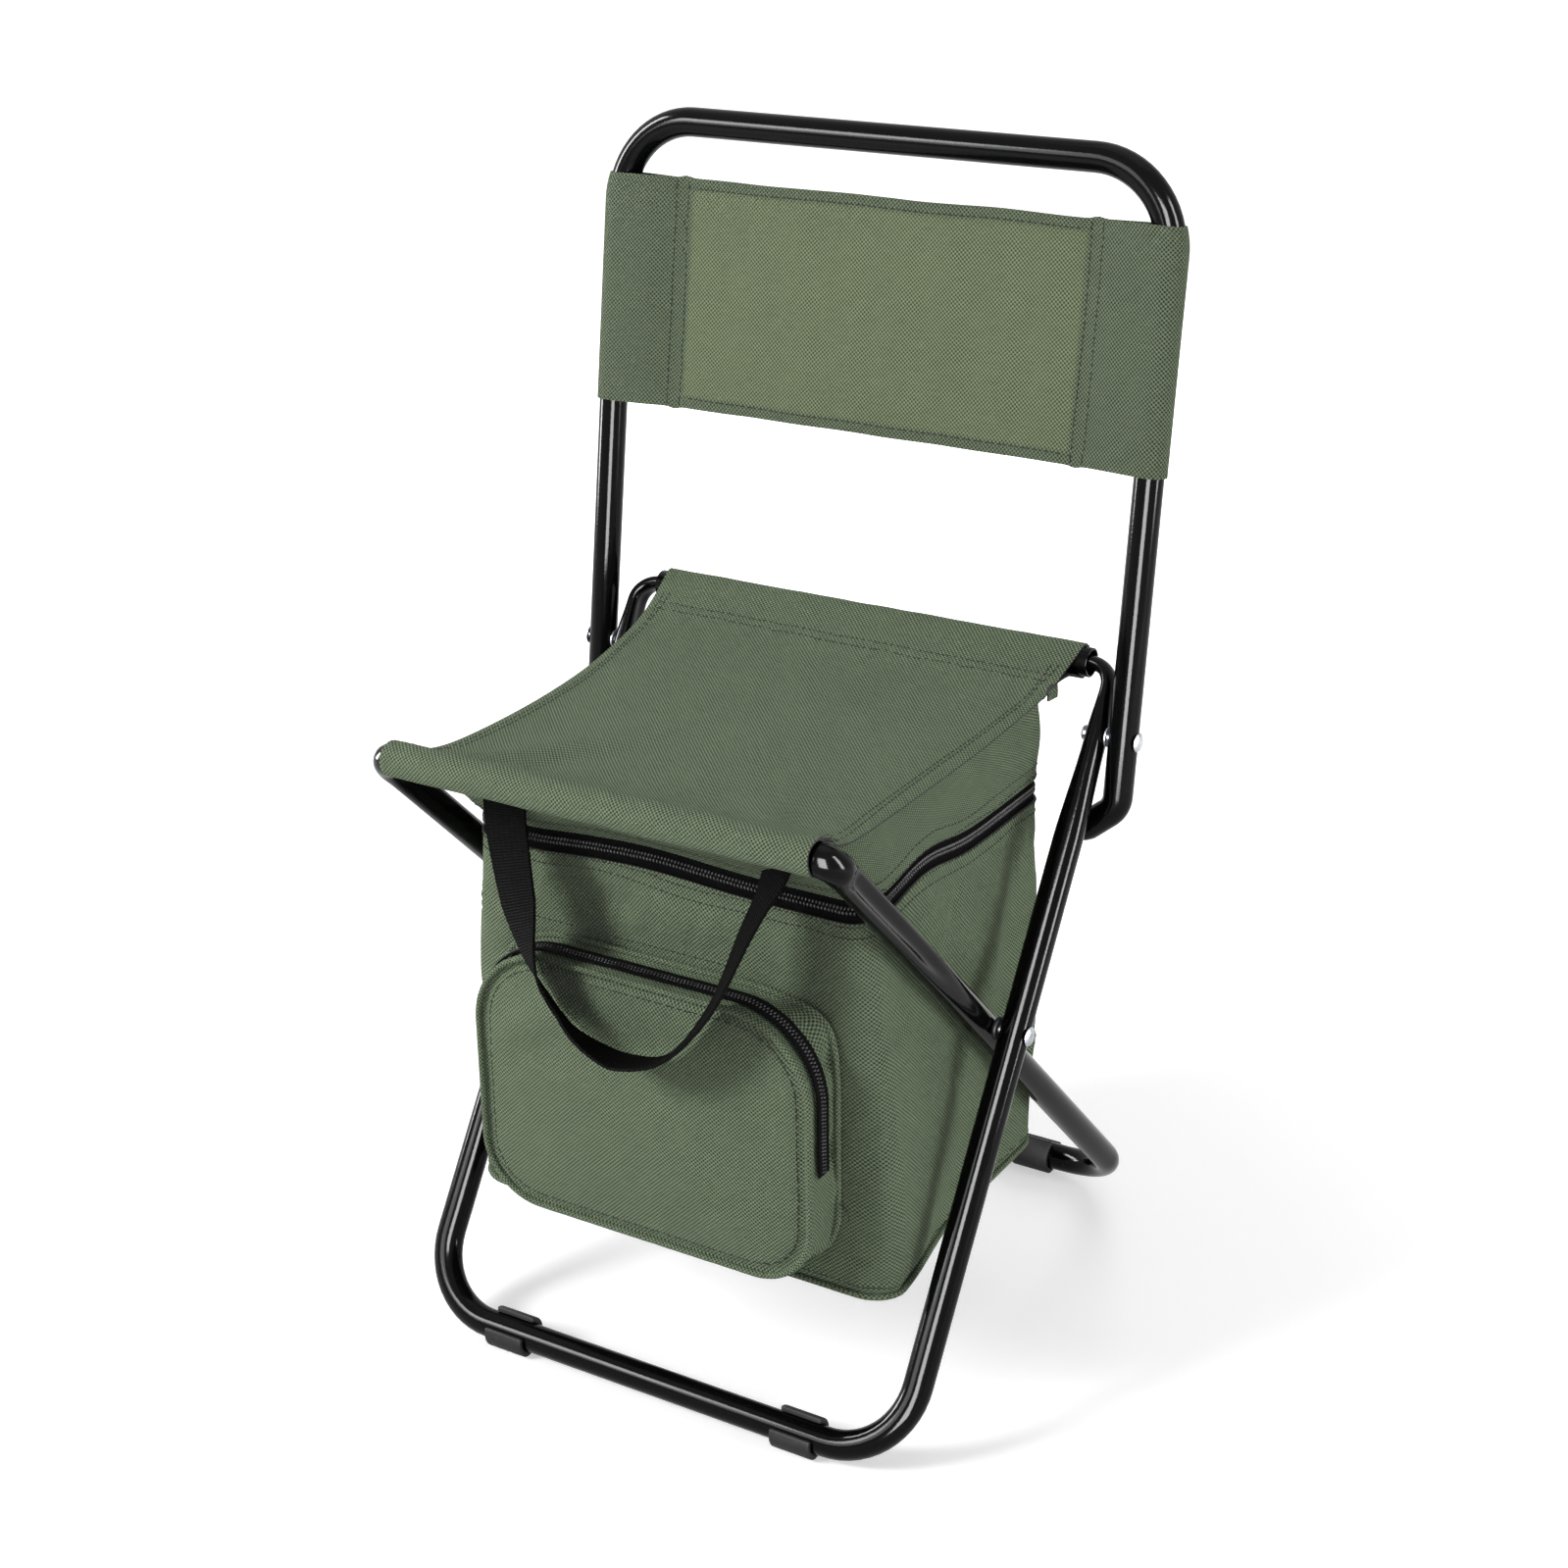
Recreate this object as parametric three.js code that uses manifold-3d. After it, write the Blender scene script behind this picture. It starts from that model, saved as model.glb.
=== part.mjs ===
// Folding cooler stool with a hinged backrest. Millimetres, +Z up, seen from the front along +Y.
// Two U-shaped steel tubes cross like scissors and carry a canvas seat on two rails. An insulated bag hangs
// under the seat, and an upside-down U of the same tube is riveted outside the front legs as a backrest.
import * as THREE from 'three';
import { mergeVertices } from 'three/addons/utils/BufferGeometryUtils.js';
import Module from 'manifold-3d';

const wasm = await Module();
wasm.setup();

// Driving dimensions of the steel frame. Side view distances are measured from the middle of the stool.
const tubeDiameter = 16;
const tubeWall = 1;
const railWall = 1.2;
const frontLegHalfWidth = 150;
const frontBarReach = 127;
const rearBarReach = 191;
const rearRailReach = 111;
const rearRailHeight = 369;
const frontRailReach = 156;
const frontRailHeight = 358.5;
const floorBendRadius = 42;
const neckBendRadius = 13;
const neckThickness = 8;
const neckInsertion = 18;
const frontElbowThickness = 9;
const rearElbowThickness = 12;
const frontLegPressedLength = 85;
const rearLegGrooveLength = 165;
const rearGrooveFullLength = 99;
const frontGrooveDepth = 1.8;
const rearGrooveDepth = 3;

// Backrest frame and its rivets.
const backrestPivotDrop = 37.4;
const backrestPivotThickness = 12;
const backrestRecline = THREE.MathUtils.degToRad(8.3);
const backrestLength = 295.5;
const backrestBendRadius = 45;
const hookBendRadius = 18;
const hookTurn = THREE.MathUtils.degToRad(60);
const hookOverlap = 6;
const hookTipThickness = 10;

// Rivets, washers and rubber feet.
const rivetDiameter = 5;
const rivetHeadDiameter = 10.5;
const rivetHeadHeight = 2;
const rivetTailDiameter = 8;
const rivetTailHeight = 1.2;
const rivetTailBevel = 0.5;
const crossingSpacerThickness = 2.4;
const crossingSpacerDiameter = 13;
const backrestWasherThickness = 0.9;
const backrestWasherDiameter = 11;
const footLength = 30;
const footInset = 1;
const footThickness = 2.5;
const footFlatDepth = 0.8;
const footOpening = THREE.MathUtils.degToRad(78);
const footOpeningTilt = THREE.MathUtils.degToRad(28);

// Canvas seat and backrest band.
const canvas = 1.2;
const seatSag = 8;
const frontSleeveHalfLength = 124;
const rearSleeveHalfLength = 132;
const seatWaist = 7;
const panelPastBend = 15;
const panelHeight = 126;
const sleeveReach = 41.5;

// Cooler bag under the seat.
const bagSideGap = 3;
const bagFrontReach = 101;
const bagRearReach = 92;
const bagTopRearReach = 84;
const bagBottomHeight = 86;
const bagCornerRadius = 16;
const bagBottomChamfer = 4;
const zipHeight = 304;
const zipBandWidth = 15;
const zipTapeThickness = 1.6;
const zipRearReach = 34;
const foamThickness = 5;
const liningThickness = 0.8;
const baseBoardThickness = 3;
const lidFoamThickness = 4;
const pipingDiameter = 3.4;

// Front pocket.
const pocketHalfWidth = 101;
const pocketBottomHeight = 97;
const pocketHeight = 153;
const pocketDepth = 26;
const pocketTopRadius = 46;
const pocketBottomRadius = 34;
const pocketCrown = 5;
const pocketZipEndHeight = 165;
const pocketZipWidth = 10;
const pocketZipInset = 4;

// Carry strap of flat webbing, and the zip sliders.
const strapWidth = 28;
const strapThickness = 1.6;
const strapHalfSpan = 85;
const strapSewnDrop = 26.5;
const strapDrop = 111;
const sliderLength = 9;
const sliderWidth = 5;
const sliderHeight = 5;
const sliderPlate = 1.2;
const bridgeLength = 6;
const bridgeWall = 1.3;
const pullLength = 17;
const pullWidth = 8.4;
const pullThickness = 1.2;
const pullTipWidth = 4.6;
const pullWindowLength = 6;
const pullShoulder = 2;

// Clearance between pieces that touch, and how finely round forms are divided.
const clearance = 0.3;
const tubeSides = 12;
const roundSides = 16;

// Sizes that follow from the ones above.
const tubeRadius = tubeDiameter / 2;
const barHeight = tubeRadius + footThickness;
const rearLegHalfWidth = frontLegHalfWidth - tubeDiameter - crossingSpacerThickness - 2 * clearance;
const backrestHalfWidth = frontLegHalfWidth + backrestPivotThickness / 2 + backrestWasherThickness
  + 2 * clearance + tubeRadius;
const sleeveInner = tubeRadius + clearance;
const sleeveOuter = sleeveInner + canvas;
const bagHalfWidth = rearLegHalfWidth - tubeRadius - bagSideGap;

// Side view: where the two leg frames stand, lean and cross.
const frontBar = new THREE.Vector2(-frontBarReach, barHeight);
const rearBar = new THREE.Vector2(rearBarReach, barHeight);
const rearRail = new THREE.Vector2(rearRailReach, rearRailHeight);
const frontRail = new THREE.Vector2(-frontRailReach, frontRailHeight);
const frontLegRun = rearRail.clone().sub(frontBar);
const rearLegRun = frontRail.clone().sub(rearBar);
const frontLegLean = Math.atan2(frontLegRun.x, frontLegRun.y);
const rearLegLean = Math.atan2(rearLegRun.x, rearLegRun.y);
const crossingAlongFront = rearBar.clone().sub(frontBar).cross(rearLegRun) / frontLegRun.cross(rearLegRun)
  * frontLegRun.length();
const crossing = pointAlong(frontBar, frontLegLean, crossingAlongFront);
const crossingAlongRear = crossing.distanceTo(rearBar);
const pivotAlongFront = frontLegRun.length() - backrestPivotDrop;
const backrestPivot = pointAlong(frontBar, frontLegLean, pivotAlongFront);

function pointAlong(start, lean, distance) {
  return new THREE.Vector2(start.x + Math.sin(lean) * distance, start.y + Math.cos(lean) * distance);
}

const stool = new THREE.Group();
const blackPaint = { color: 0x17181a, roughness: 0.3, metalness: 0.6 };
const zinc = { color: 0xb9bcbf, roughness: 0.35, metalness: 0.9 };
const greenCanvas = { color: 0x4d6142, roughness: 0.9, metalness: 0 };
const blackWebbing = { color: 0x191a1b, roughness: 0.85, metalness: 0 };
const blackRubber = { color: 0x1b1b1c, roughness: 0.75, metalness: 0 };
const whiteFoam = { color: 0xe4e4df, roughness: 0.9, metalness: 0 };
const silverFoil = { color: 0xc4c7ca, roughness: 0.3, metalness: 0.8 };
const greyBoard = { color: 0x6d6c68, roughness: 0.9, metalness: 0 };

function addPiece(parent, name, geometry, finish) {
  const mesh = new THREE.Mesh(geometry, new THREE.MeshStandardMaterial(finish));
  mesh.name = name;
  parent.add(mesh);
  return mesh;
}

// Skins rings of points, each with the same number of points. A loop of rings closes on itself, and a row
// of rings is closed at both ends by a fan of triangles.
function skin(rings, isLoop) {
  const count = rings[0].length;
  const points = rings.flat();
  const triangles = [];
  const lastRing = isLoop ? rings.length : rings.length - 1;
  for (let i = 0; i < lastRing; i++) {
    for (let k = 0; k < count; k++) {
      const a = i * count + k;
      const b = i * count + (k + 1) % count;
      const c = ((i + 1) % rings.length) * count + k;
      const d = ((i + 1) % rings.length) * count + (k + 1) % count;
      triangles.push(a, b, d, a, d, c);
    }
  }
  if (!isLoop) {
    for (const [ring, turned] of [[0, true], [rings.length - 1, false]]) {
      const middle = rings[ring].reduce((sum, p) => sum.add(p), new THREE.Vector3()).divideScalar(count);
      points.push(middle);
      for (let k = 0; k < count; k++) {
        const a = ring * count + k;
        const b = ring * count + (k + 1) % count;
        triangles.push(...(turned ? [b, a, points.length - 1] : [a, b, points.length - 1]));
      }
    }
  }
  return facingOut(points, triangles);
}

// Makes an indexed geometry whose triangles all face out, from triangles that agree with each other.
function facingOut(points, triangles) {
  let volume = 0;
  for (let t = 0; t < triangles.length; t += 3) {
    const [a, b, c] = [points[triangles[t]], points[triangles[t + 1]], points[triangles[t + 2]]];
    volume += a.dot(new THREE.Vector3().crossVectors(b, c));
  }
  const geometry = new THREE.BufferGeometry().setFromPoints(points);
  geometry.setIndex(volume < 0 ? triangles.reverse() : triangles);
  geometry.computeVertexNormals();
  return geometry;
}

function toManifold(geometry) {
  const bare = geometry.clone();
  bare.deleteAttribute('normal');
  bare.deleteAttribute('uv');
  const merged = mergeVertices(bare, 1e-4);
  return new wasm.Manifold(new wasm.Mesh({
    numProp: 3,
    vertProperties: new Float32Array(merged.attributes.position.array),
    triVerts: new Uint32Array(merged.index.array),
  }));
}

function subtract(geometry, cutters) {
  let body = toManifold(geometry);
  for (const cutter of cutters) {
    body = body.subtract(toManifold(cutter));
  }
  const mesh = body.getMesh();
  const result = new THREE.BufferGeometry();
  result.setAttribute('position', new THREE.BufferAttribute(mesh.vertProperties, 3));
  result.setIndex(new THREE.BufferAttribute(mesh.triVerts, 1));
  result.computeVertexNormals();
  return result;
}

// A cylinder along X, for bores and washers.
function crossCylinder(radius, length, x, y, z) {
  const cylinder = new THREE.CylinderGeometry(radius, radius, length, roundSides);
  cylinder.rotateZ(Math.PI / 2);
  cylinder.translate(x, y, z);
  return cylinder;
}

// Walks a flat path of straights and bends. Each station has its place, its heading and the distance walked.
function walk(start, heading, moves) {
  const stations = [{ at: start.clone(), heading, along: 0 }];
  for (const move of moves) {
    const steps = move.steps ?? 1;
    for (let i = 0; i < steps; i++) {
      const last = stations[stations.length - 1];
      const turn = (move.turn ?? 0) / steps;
      const length = move.turn ? move.radius * Math.abs(turn) : move.straight / steps;
      const chord = move.turn ? 2 * move.radius * Math.sin(Math.abs(turn) / 2) : length;
      const chordHeading = last.heading + turn / 2;
      const step = new THREE.Vector2(Math.cos(chordHeading), Math.sin(chordHeading)).multiplyScalar(chord);
      const at = last.at.clone().add(step);
      stations.push({ at, heading: last.heading + turn, along: last.along + length });
    }
  }
  return stations;
}

// The side of a path that lies on the left of its heading.
function leftOf(station) {
  return new THREE.Vector2(-Math.sin(station.heading), Math.cos(station.heading));
}

// Section of a pressed tube at a distance from its nearer end, read from its list of pressed stations.
function pressedSection(list, distance) {
  const next = list.findIndex((entry) => entry.along >= distance);
  if (next < 0) {
    return list[list.length - 1];
  }
  if (next === 0) {
    return list[0];
  }
  const [from, to] = [list[next - 1], list[next]];
  const share = (distance - from.along) / (to.along - from.along);
  const mix = (key) => THREE.MathUtils.lerp(from[key], to[key], share);
  return { thick: mix('thick'), wide: mix('wide'), groove: mix('groove') };
}

// A hollow bent tube in its own XZ plane. The section may be pressed thin across the path, and grooved on its
// outer side (grooveSide 1) or inner side (grooveSide -1).
function bentTube(stations, sections, grooveSide) {
  const total = stations[stations.length - 1].along;
  const outer = [];
  const inner = [];
  for (const station of stations) {
    const section = pressedSection(sections, Math.min(station.along, total - station.along));
    const side = leftOf(station);
    const rings = [[], []];
    for (let k = 0; k < tubeSides; k++) {
      const angle = 2 * Math.PI * k / tubeSides;
      const facing = Math.max(0, grooveSide * Math.cos(angle));
      const across = section.thick / 2 * Math.cos(angle) - grooveSide * section.groove * facing ** 6;
      const proud = section.wide / 2 * Math.sin(angle);
      const bore = 1 - tubeWall / Math.hypot(across, proud);
      for (const [ring, scale] of [[rings[0], 1], [rings[1], bore]]) {
        const place = station.at.clone().addScaledVector(side, across * scale);
        ring.push(new THREE.Vector3(place.x, proud * scale, place.y));
      }
    }
    outer.push(rings[0]);
    inner.push(rings[1]);
  }
  return skin([...outer, ...inner.reverse()], true);
}

// One leg frame: a U of tube whose pressed tops bend inwards and plug into a straight seat rail.
function legFramePath(halfWidth, legLength, pressedLength) {
  const start = new THREE.Vector2(halfWidth - neckBendRadius - neckInsertion, legLength);
  const quarter = -Math.PI / 2;
  const plainLeg = legLength - neckBendRadius - floorBendRadius - pressedLength;
  const neck = { radius: neckBendRadius, turn: quarter, steps: 5 };
  const pressed = { straight: pressedLength, steps: 6 };
  const plain = { straight: plainLeg };
  const corner = { radius: floorBendRadius, turn: quarter, steps: 7 };
  const bar = { straight: 2 * (halfWidth - floorBendRadius) };
  const stub = { straight: neckInsertion };
  return walk(start, 0, [stub, neck, pressed, plain, corner, bar, corner, plain, pressed, neck, stub]);
}

const railBore = tubeDiameter - 2 * railWall;
const stubWidth = railBore - 4 * clearance;
const elbowWidth = (stubWidth + tubeDiameter) / 2;
const neckArc = neckBendRadius * Math.PI / 2;
const roundTube = { thick: tubeDiameter, wide: tubeDiameter, groove: 0 };
const stubSection = { thick: neckThickness, wide: stubWidth, groove: 0 };

function frontLegSections() {
  const neckEnd = neckInsertion + neckArc;
  const pivot = neckInsertion + neckArc + backrestPivotDrop - neckBendRadius;
  return [
    { along: 0, ...stubSection },
    { along: neckInsertion, ...stubSection },
    { along: neckEnd, thick: frontElbowThickness, wide: tubeDiameter, groove: frontGrooveDepth },
    { along: pivot, thick: backrestPivotThickness, wide: tubeDiameter, groove: frontGrooveDepth },
    { along: neckEnd + frontLegPressedLength, ...roundTube },
  ];
}

function rearLegSections() {
  const neckEnd = neckInsertion + neckArc;
  return [
    { along: 0, ...stubSection },
    { along: neckInsertion, ...stubSection },
    { along: neckInsertion + neckArc / 2, thick: frontElbowThickness, wide: elbowWidth, groove: 0 },
    { along: neckEnd, thick: rearElbowThickness, wide: tubeDiameter, groove: rearGrooveDepth },
    { along: neckEnd + rearGrooveFullLength, ...roundTube, groove: rearGrooveDepth },
    { along: neckEnd + rearLegGrooveLength, ...roundTube },
  ];
}

// A straight hollow tube along X.
function straightTube(halfLength, radius, wall) {
  const ring = (x, r) => Array.from({ length: roundSides }, (_, k) => {
    const angle = 2 * Math.PI * k / roundSides;
    return new THREE.Vector3(x, r * Math.cos(angle), r * Math.sin(angle));
  });
  const bore = radius - wall;
  const outside = [ring(-halfLength, radius), ring(halfLength, radius)];
  const inside = [ring(halfLength, bore), ring(-halfLength, bore)];
  return skin([...outside, ...inside], true);
}

// Leg frames stand on their floor bars and lean: the front frame back, the rear frame forward.
const frontFrame = new THREE.Group();
frontFrame.position.set(0, frontBar.x, frontBar.y);
frontFrame.rotation.x = -frontLegLean;
const rearFrame = new THREE.Group();
rearFrame.position.set(0, rearBar.x, rearBar.y);
rearFrame.rotation.x = -rearLegLean;
stool.add(frontFrame, rearFrame);

const boreRadius = rivetDiameter / 2 + clearance;
const boreThrough = 4 * frontLegHalfWidth;
const frontLegLength = frontLegRun.length();
const rearLegLength = rearLegRun.length();
const frontLegTube = bentTube(
  legFramePath(frontLegHalfWidth, frontLegLength, frontLegPressedLength), frontLegSections(), -1);
addPiece(frontFrame, 'front_leg_tube', subtract(frontLegTube, [
  crossCylinder(boreRadius, boreThrough, 0, 0, crossingAlongFront),
  crossCylinder(boreRadius, boreThrough, 0, 0, pivotAlongFront),
]), blackPaint);
const rearSeatRail = straightTube(frontLegHalfWidth - neckBendRadius - clearance, tubeRadius, railWall);
addPiece(frontFrame, 'rear_seat_rail', rearSeatRail, blackPaint).position.z = frontLegLength;

const rearLegTube = bentTube(
  legFramePath(rearLegHalfWidth, rearLegLength, rearLegGrooveLength), rearLegSections(), 1);
addPiece(rearFrame, 'rear_leg_tube', subtract(rearLegTube, [
  crossCylinder(boreRadius, boreThrough, 0, 0, crossingAlongRear),
]), blackPaint);
const frontSeatRail = straightTube(rearLegHalfWidth - neckBendRadius - clearance, tubeRadius, railWall);
addPiece(rearFrame, 'front_seat_rail', frontSeatRail, blackPaint).position.z = rearLegLength;

// Backrest: an upside-down U riveted outside the front legs. Each lower end hooks inwards behind the leg and
// stops there, so the distance down to the hook follows from the angle between the two tubes.
const backrestFrame = new THREE.Group();
backrestFrame.position.set(0, backrestPivot.x, backrestPivot.y);
backrestFrame.rotation.x = -backrestRecline;
stool.add(backrestFrame);

const hookOffset = backrestHalfWidth - frontLegHalfWidth;
const legSpread = Math.sin(frontLegLean - backrestRecline);
const hookDrop = (tubeDiameter + clearance) * Math.hypot(Math.sin(hookTurn), Math.cos(hookTurn) * legSpread)
  / (Math.sin(hookTurn) * legSpread);
const hookSide = hookOffset - hookBendRadius * (1 - Math.cos(hookTurn));
const hookStraight = hookSide / Math.sin(hookTurn) + hookOverlap;
const uprightBelow = hookDrop - hookBendRadius * Math.sin(hookTurn) - hookSide / Math.tan(hookTurn);

function backrestPath() {
  const upright = backrestLength - backrestBendRadius + uprightBelow;
  const start = new THREE.Vector2(
    frontLegHalfWidth - hookOverlap * Math.sin(hookTurn), -hookDrop - hookOverlap * Math.cos(hookTurn));
  const tip = { straight: hookStraight, steps: 2 };
  const hook = { radius: hookBendRadius, turn: hookTurn, steps: 4 };
  const corner = { radius: backrestBendRadius, turn: Math.PI / 2, steps: 8 };
  const side = { straight: upright };
  const top = { straight: 2 * (backrestHalfWidth - backrestBendRadius) };
  return walk(start, Math.PI / 2 - hookTurn, [tip, hook, side, corner, top, corner, side, hook, tip]);
}

const hookSections = [
  { along: 0, thick: hookTipThickness, wide: tubeDiameter, groove: 0 },
  { along: hookOverlap, ...roundTube },
];
addPiece(backrestFrame, 'backrest_tube', subtract(bentTube(backrestPath(), hookSections, 1), [
  crossCylinder(boreRadius, boreThrough, 0, 0, 0),
]), blackPaint);

// Canvas band of the backrest: two sleeves round the uprights, sewn down to one sheet in the middle. The
// sleeves are loose enough to pass the start of the tube's top bends.
const bendShift = backrestBendRadius - Math.sqrt(backrestBendRadius ** 2 - panelPastBend ** 2);
const bandInner = tubeRadius + clearance + bendShift * (tubeRadius + canvas) / sleeveReach;
const bandOuter = bandInner + canvas;

// Half an outline of a sleeve: round the tube, then in along a tangent to the stitch line.
function sleeveOutline(centreX, radius, apexX, side) {
  const reach = Math.abs(centreX - apexX);
  const start = Math.PI - Math.acos(radius / reach);
  const points = [];
  for (let k = 0; k <= roundSides; k++) {
    const angle = start - 2 * start * k / roundSides;
    const away = new THREE.Vector2(Math.cos(angle), Math.sin(angle)).multiplyScalar(side * radius);
    points.push(away.add(new THREE.Vector2(centreX, 0)));
  }
  return points;
}

function backrestBand() {
  const stitchX = backrestHalfWidth - sleeveReach;
  const half = canvas / 2;
  const right = sleeveOutline(backrestHalfWidth, bandOuter, stitchX, 1);
  const left = sleeveOutline(-backrestHalfWidth, bandOuter, -stitchX, -1);
  const shape = new THREE.Shape([
    new THREE.Vector2(stitchX, half), ...right, new THREE.Vector2(stitchX, -half),
    new THREE.Vector2(-stitchX, -half), ...left, new THREE.Vector2(-stitchX, half),
  ]);
  const innerApex = stitchX + canvas * sleeveReach / bandOuter;
  for (const side of [1, -1]) {
    const hole = sleeveOutline(side * backrestHalfWidth, bandInner, side * innerApex, side);
    shape.holes.push(new THREE.Path([new THREE.Vector2(side * innerApex, 0), ...hole].reverse()));
  }
  const band = new THREE.ExtrudeGeometry(shape, { depth: panelHeight, steps: 1, bevelEnabled: false });
  band.translate(0, 0, backrestLength - backrestBendRadius + panelPastBend - panelHeight);
  return band;
}
addPiece(backrestFrame, 'backrest_panel', backrestBand(), greenCanvas);

// A rivet along X: a domed head outside, a shank, and a flat spread tail inside.
function rivet(gripLength) {
  const shank = rivetDiameter / 2;
  const tail = rivetTailDiameter / 2;
  const end = gripLength + 2 * clearance;
  const domeSteps = 3;
  const dome = Array.from({ length: domeSteps + 1 }, (_, k) => {
    const angle = Math.PI / 2 * (1 - k / domeSteps);
    const radius = k === 0 ? 0 : rivetHeadDiameter / 2 * Math.cos(angle);
    return [radius, -rivetHeadHeight * Math.sin(angle)];
  });
  const profile = [
    ...dome, [shank, 0], [shank, end], [tail, end], [tail, end + rivetTailHeight - rivetTailBevel],
    [tail - rivetTailBevel, end + rivetTailHeight], [0, end + rivetTailHeight],
  ];
  const body = new THREE.LatheGeometry(profile.map(([r, h]) => new THREE.Vector2(r, h)), roundSides);
  return body.rotateZ(Math.PI / 2).translate(clearance, 0, 0);
}

function washer(diameter, thickness) {
  const hole = rivetDiameter / 2 + clearance;
  const edge = diameter / 2;
  const profile = [[hole, 0], [edge, 0], [edge, thickness], [hole, thickness], [hole, 0]];
  const body = new THREE.LatheGeometry(profile.map(([r, h]) => new THREE.Vector2(r, h)), roundSides);
  return body.rotateZ(Math.PI / 2);
}

// Puts a piece on the right, and its twin turned round on the left, at the same place in the side view.
function addPair(name, geometry, finish, x, place) {
  addPiece(stool, `${name}_right`, geometry, finish).position.set(x, place.x, place.y);
  const twin = addPiece(stool, `${name}_left`, geometry.clone(), finish);
  twin.position.set(-x, place.x, place.y);
  twin.rotation.z = Math.PI;
}

const legOuterFace = frontLegHalfWidth + tubeRadius;
const crossingGrip = legOuterFace - (rearLegHalfWidth - tubeRadius);
const legInnerFaceAtPivot = frontLegHalfWidth - backrestPivotThickness / 2;
const backrestOuterFace = backrestHalfWidth + tubeRadius;
const backrestGrip = backrestOuterFace - legInnerFaceAtPivot;
addPair('crossing_rivet', rivet(crossingGrip), zinc, legOuterFace, crossing);
addPair('crossing_spacer', washer(crossingSpacerDiameter, crossingSpacerThickness), blackRubber,
  frontLegHalfWidth - tubeRadius - clearance, crossing);
addPair('backrest_rivet', rivet(backrestGrip), zinc, backrestOuterFace, backrestPivot);
addPair('backrest_washer', washer(backrestWasherDiameter, backrestWasherThickness), zinc,
  backrestHalfWidth - tubeRadius - clearance, backrestPivot);

// Turns a side view outline, extruded from x = -1 to 1, into a solid whose half width may change along Y.
function sideExtrusion(shape, steps, halfWidthAt) {
  const curveSegments = roundSides / 2;
  const solid = new THREE.ExtrudeGeometry(shape, { depth: 2, steps, curveSegments, bevelEnabled: false });
  const ahead = new THREE.Vector3(0, 1, 0);
  const up = new THREE.Vector3(0, 0, 1);
  const right = new THREE.Vector3(1, 0, 0);
  solid.applyMatrix4(new THREE.Matrix4().makeBasis(ahead, up, right));
  const places = solid.attributes.position;
  for (let i = 0; i < places.count; i++) {
    places.setX(i, (places.getX(i) - 1) * halfWidthAt(places.getY(i)));
  }
  return solid;
}

// Rubber foot: a clip round the floor bar, cut flat where it meets the floor. Its opening faces up and leans
// away from the middle of the stool.
function foot(outward) {
  const inner = tubeRadius + clearance;
  const outer = tubeRadius + footThickness + footFlatDepth;
  const opening = Math.PI / 2 - outward * footOpeningTilt;
  const from = opening + footOpening / 2;
  const to = opening + 2 * Math.PI - footOpening / 2;
  const down = 3 * Math.PI / 2;
  const flat = Math.acos(barHeight / outer);
  const shape = new THREE.Shape();
  shape.absarc(0, 0, outer, from, down - flat);
  shape.absarc(0, 0, outer, down + flat, to);
  shape.absarc(0, 0, inner, to, from, true);
  return sideExtrusion(shape, 1, () => footLength / 2);
}

for (const [end, place, outward, halfWidth] of [
  ['front', frontBar, -1, frontLegHalfWidth],
  ['rear', rearBar, 1, rearLegHalfWidth],
]) {
  const footX = halfWidth - floorBendRadius - footInset - footLength / 2;
  for (const [side, sign] of [['left', -1], ['right', 1]]) {
    const clip = addPiece(stool, `foot_${end}_${side}`, foot(outward), blackRubber);
    clip.position.set(sign * footX, place.x, place.y);
  }
}

// Seat sling: a sheet that sags between the tops of its two sleeves. It is drawn along the line of the rails.
const seatRun = rearRail.clone().sub(frontRail);
const seatSlope = seatRun.angle();
const seatLine = (along) => sleeveOuter - 4 * seatSag * along / seatRun.length() * (1 - along / seatRun.length());

function seatTop(y) {
  const along = THREE.MathUtils.clamp(y - frontRail.x, 0, seatRun.x) / Math.cos(seatSlope);
  return frontRail.y + along * Math.sin(seatSlope) + seatLine(along) / Math.cos(seatSlope);
}

function seatHalfWidth(y) {
  const share = THREE.MathUtils.clamp((y - frontRail.x) / (rearRail.x - frontRail.x), 0, 1);
  const straight = THREE.MathUtils.lerp(frontSleeveHalfLength, rearSleeveHalfLength, share);
  return straight - 4 * seatWaist * share * (1 - share);
}

function evenly(from, to, steps) {
  return Array.from({ length: steps + 1 }, (_, k) => THREE.MathUtils.lerp(from, to, k / steps));
}

function seatShape() {
  const leave = Math.acos((sleeveOuter - canvas) / sleeveOuter);
  const length = seatRun.length();
  const round = (centre, from, to) => evenly(from, to, roundSides).map((angle) => (
    new THREE.Vector2(centre + sleeveOuter * Math.cos(angle), sleeveOuter * Math.sin(angle))
  ));
  const top = Math.PI / 2;
  const sheet = evenly(sleeveOuter, length - sleeveOuter, 10);
  const level = [
    ...round(0, top - leave, top - 2 * Math.PI),
    ...sheet.map((along) => new THREE.Vector2(along, seatLine(along))),
    ...round(length, top, top + leave - 2 * Math.PI),
    ...sheet.reverse().map((along) => new THREE.Vector2(along, seatLine(along) - canvas)),
  ];
  const origin = new THREE.Vector2();
  const shape = new THREE.Shape(level.map((point) => point.rotateAround(origin, seatSlope).add(frontRail)));
  for (const rail of [frontRail, rearRail]) {
    shape.holes.push(new THREE.Path().absarc(rail.x, rail.y, sleeveInner, 0, 2 * Math.PI));
  }
  return shape;
}
addPiece(stool, 'seat_panel', sideExtrusion(seatShape(), 4, seatHalfWidth), greenCanvas);

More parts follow.
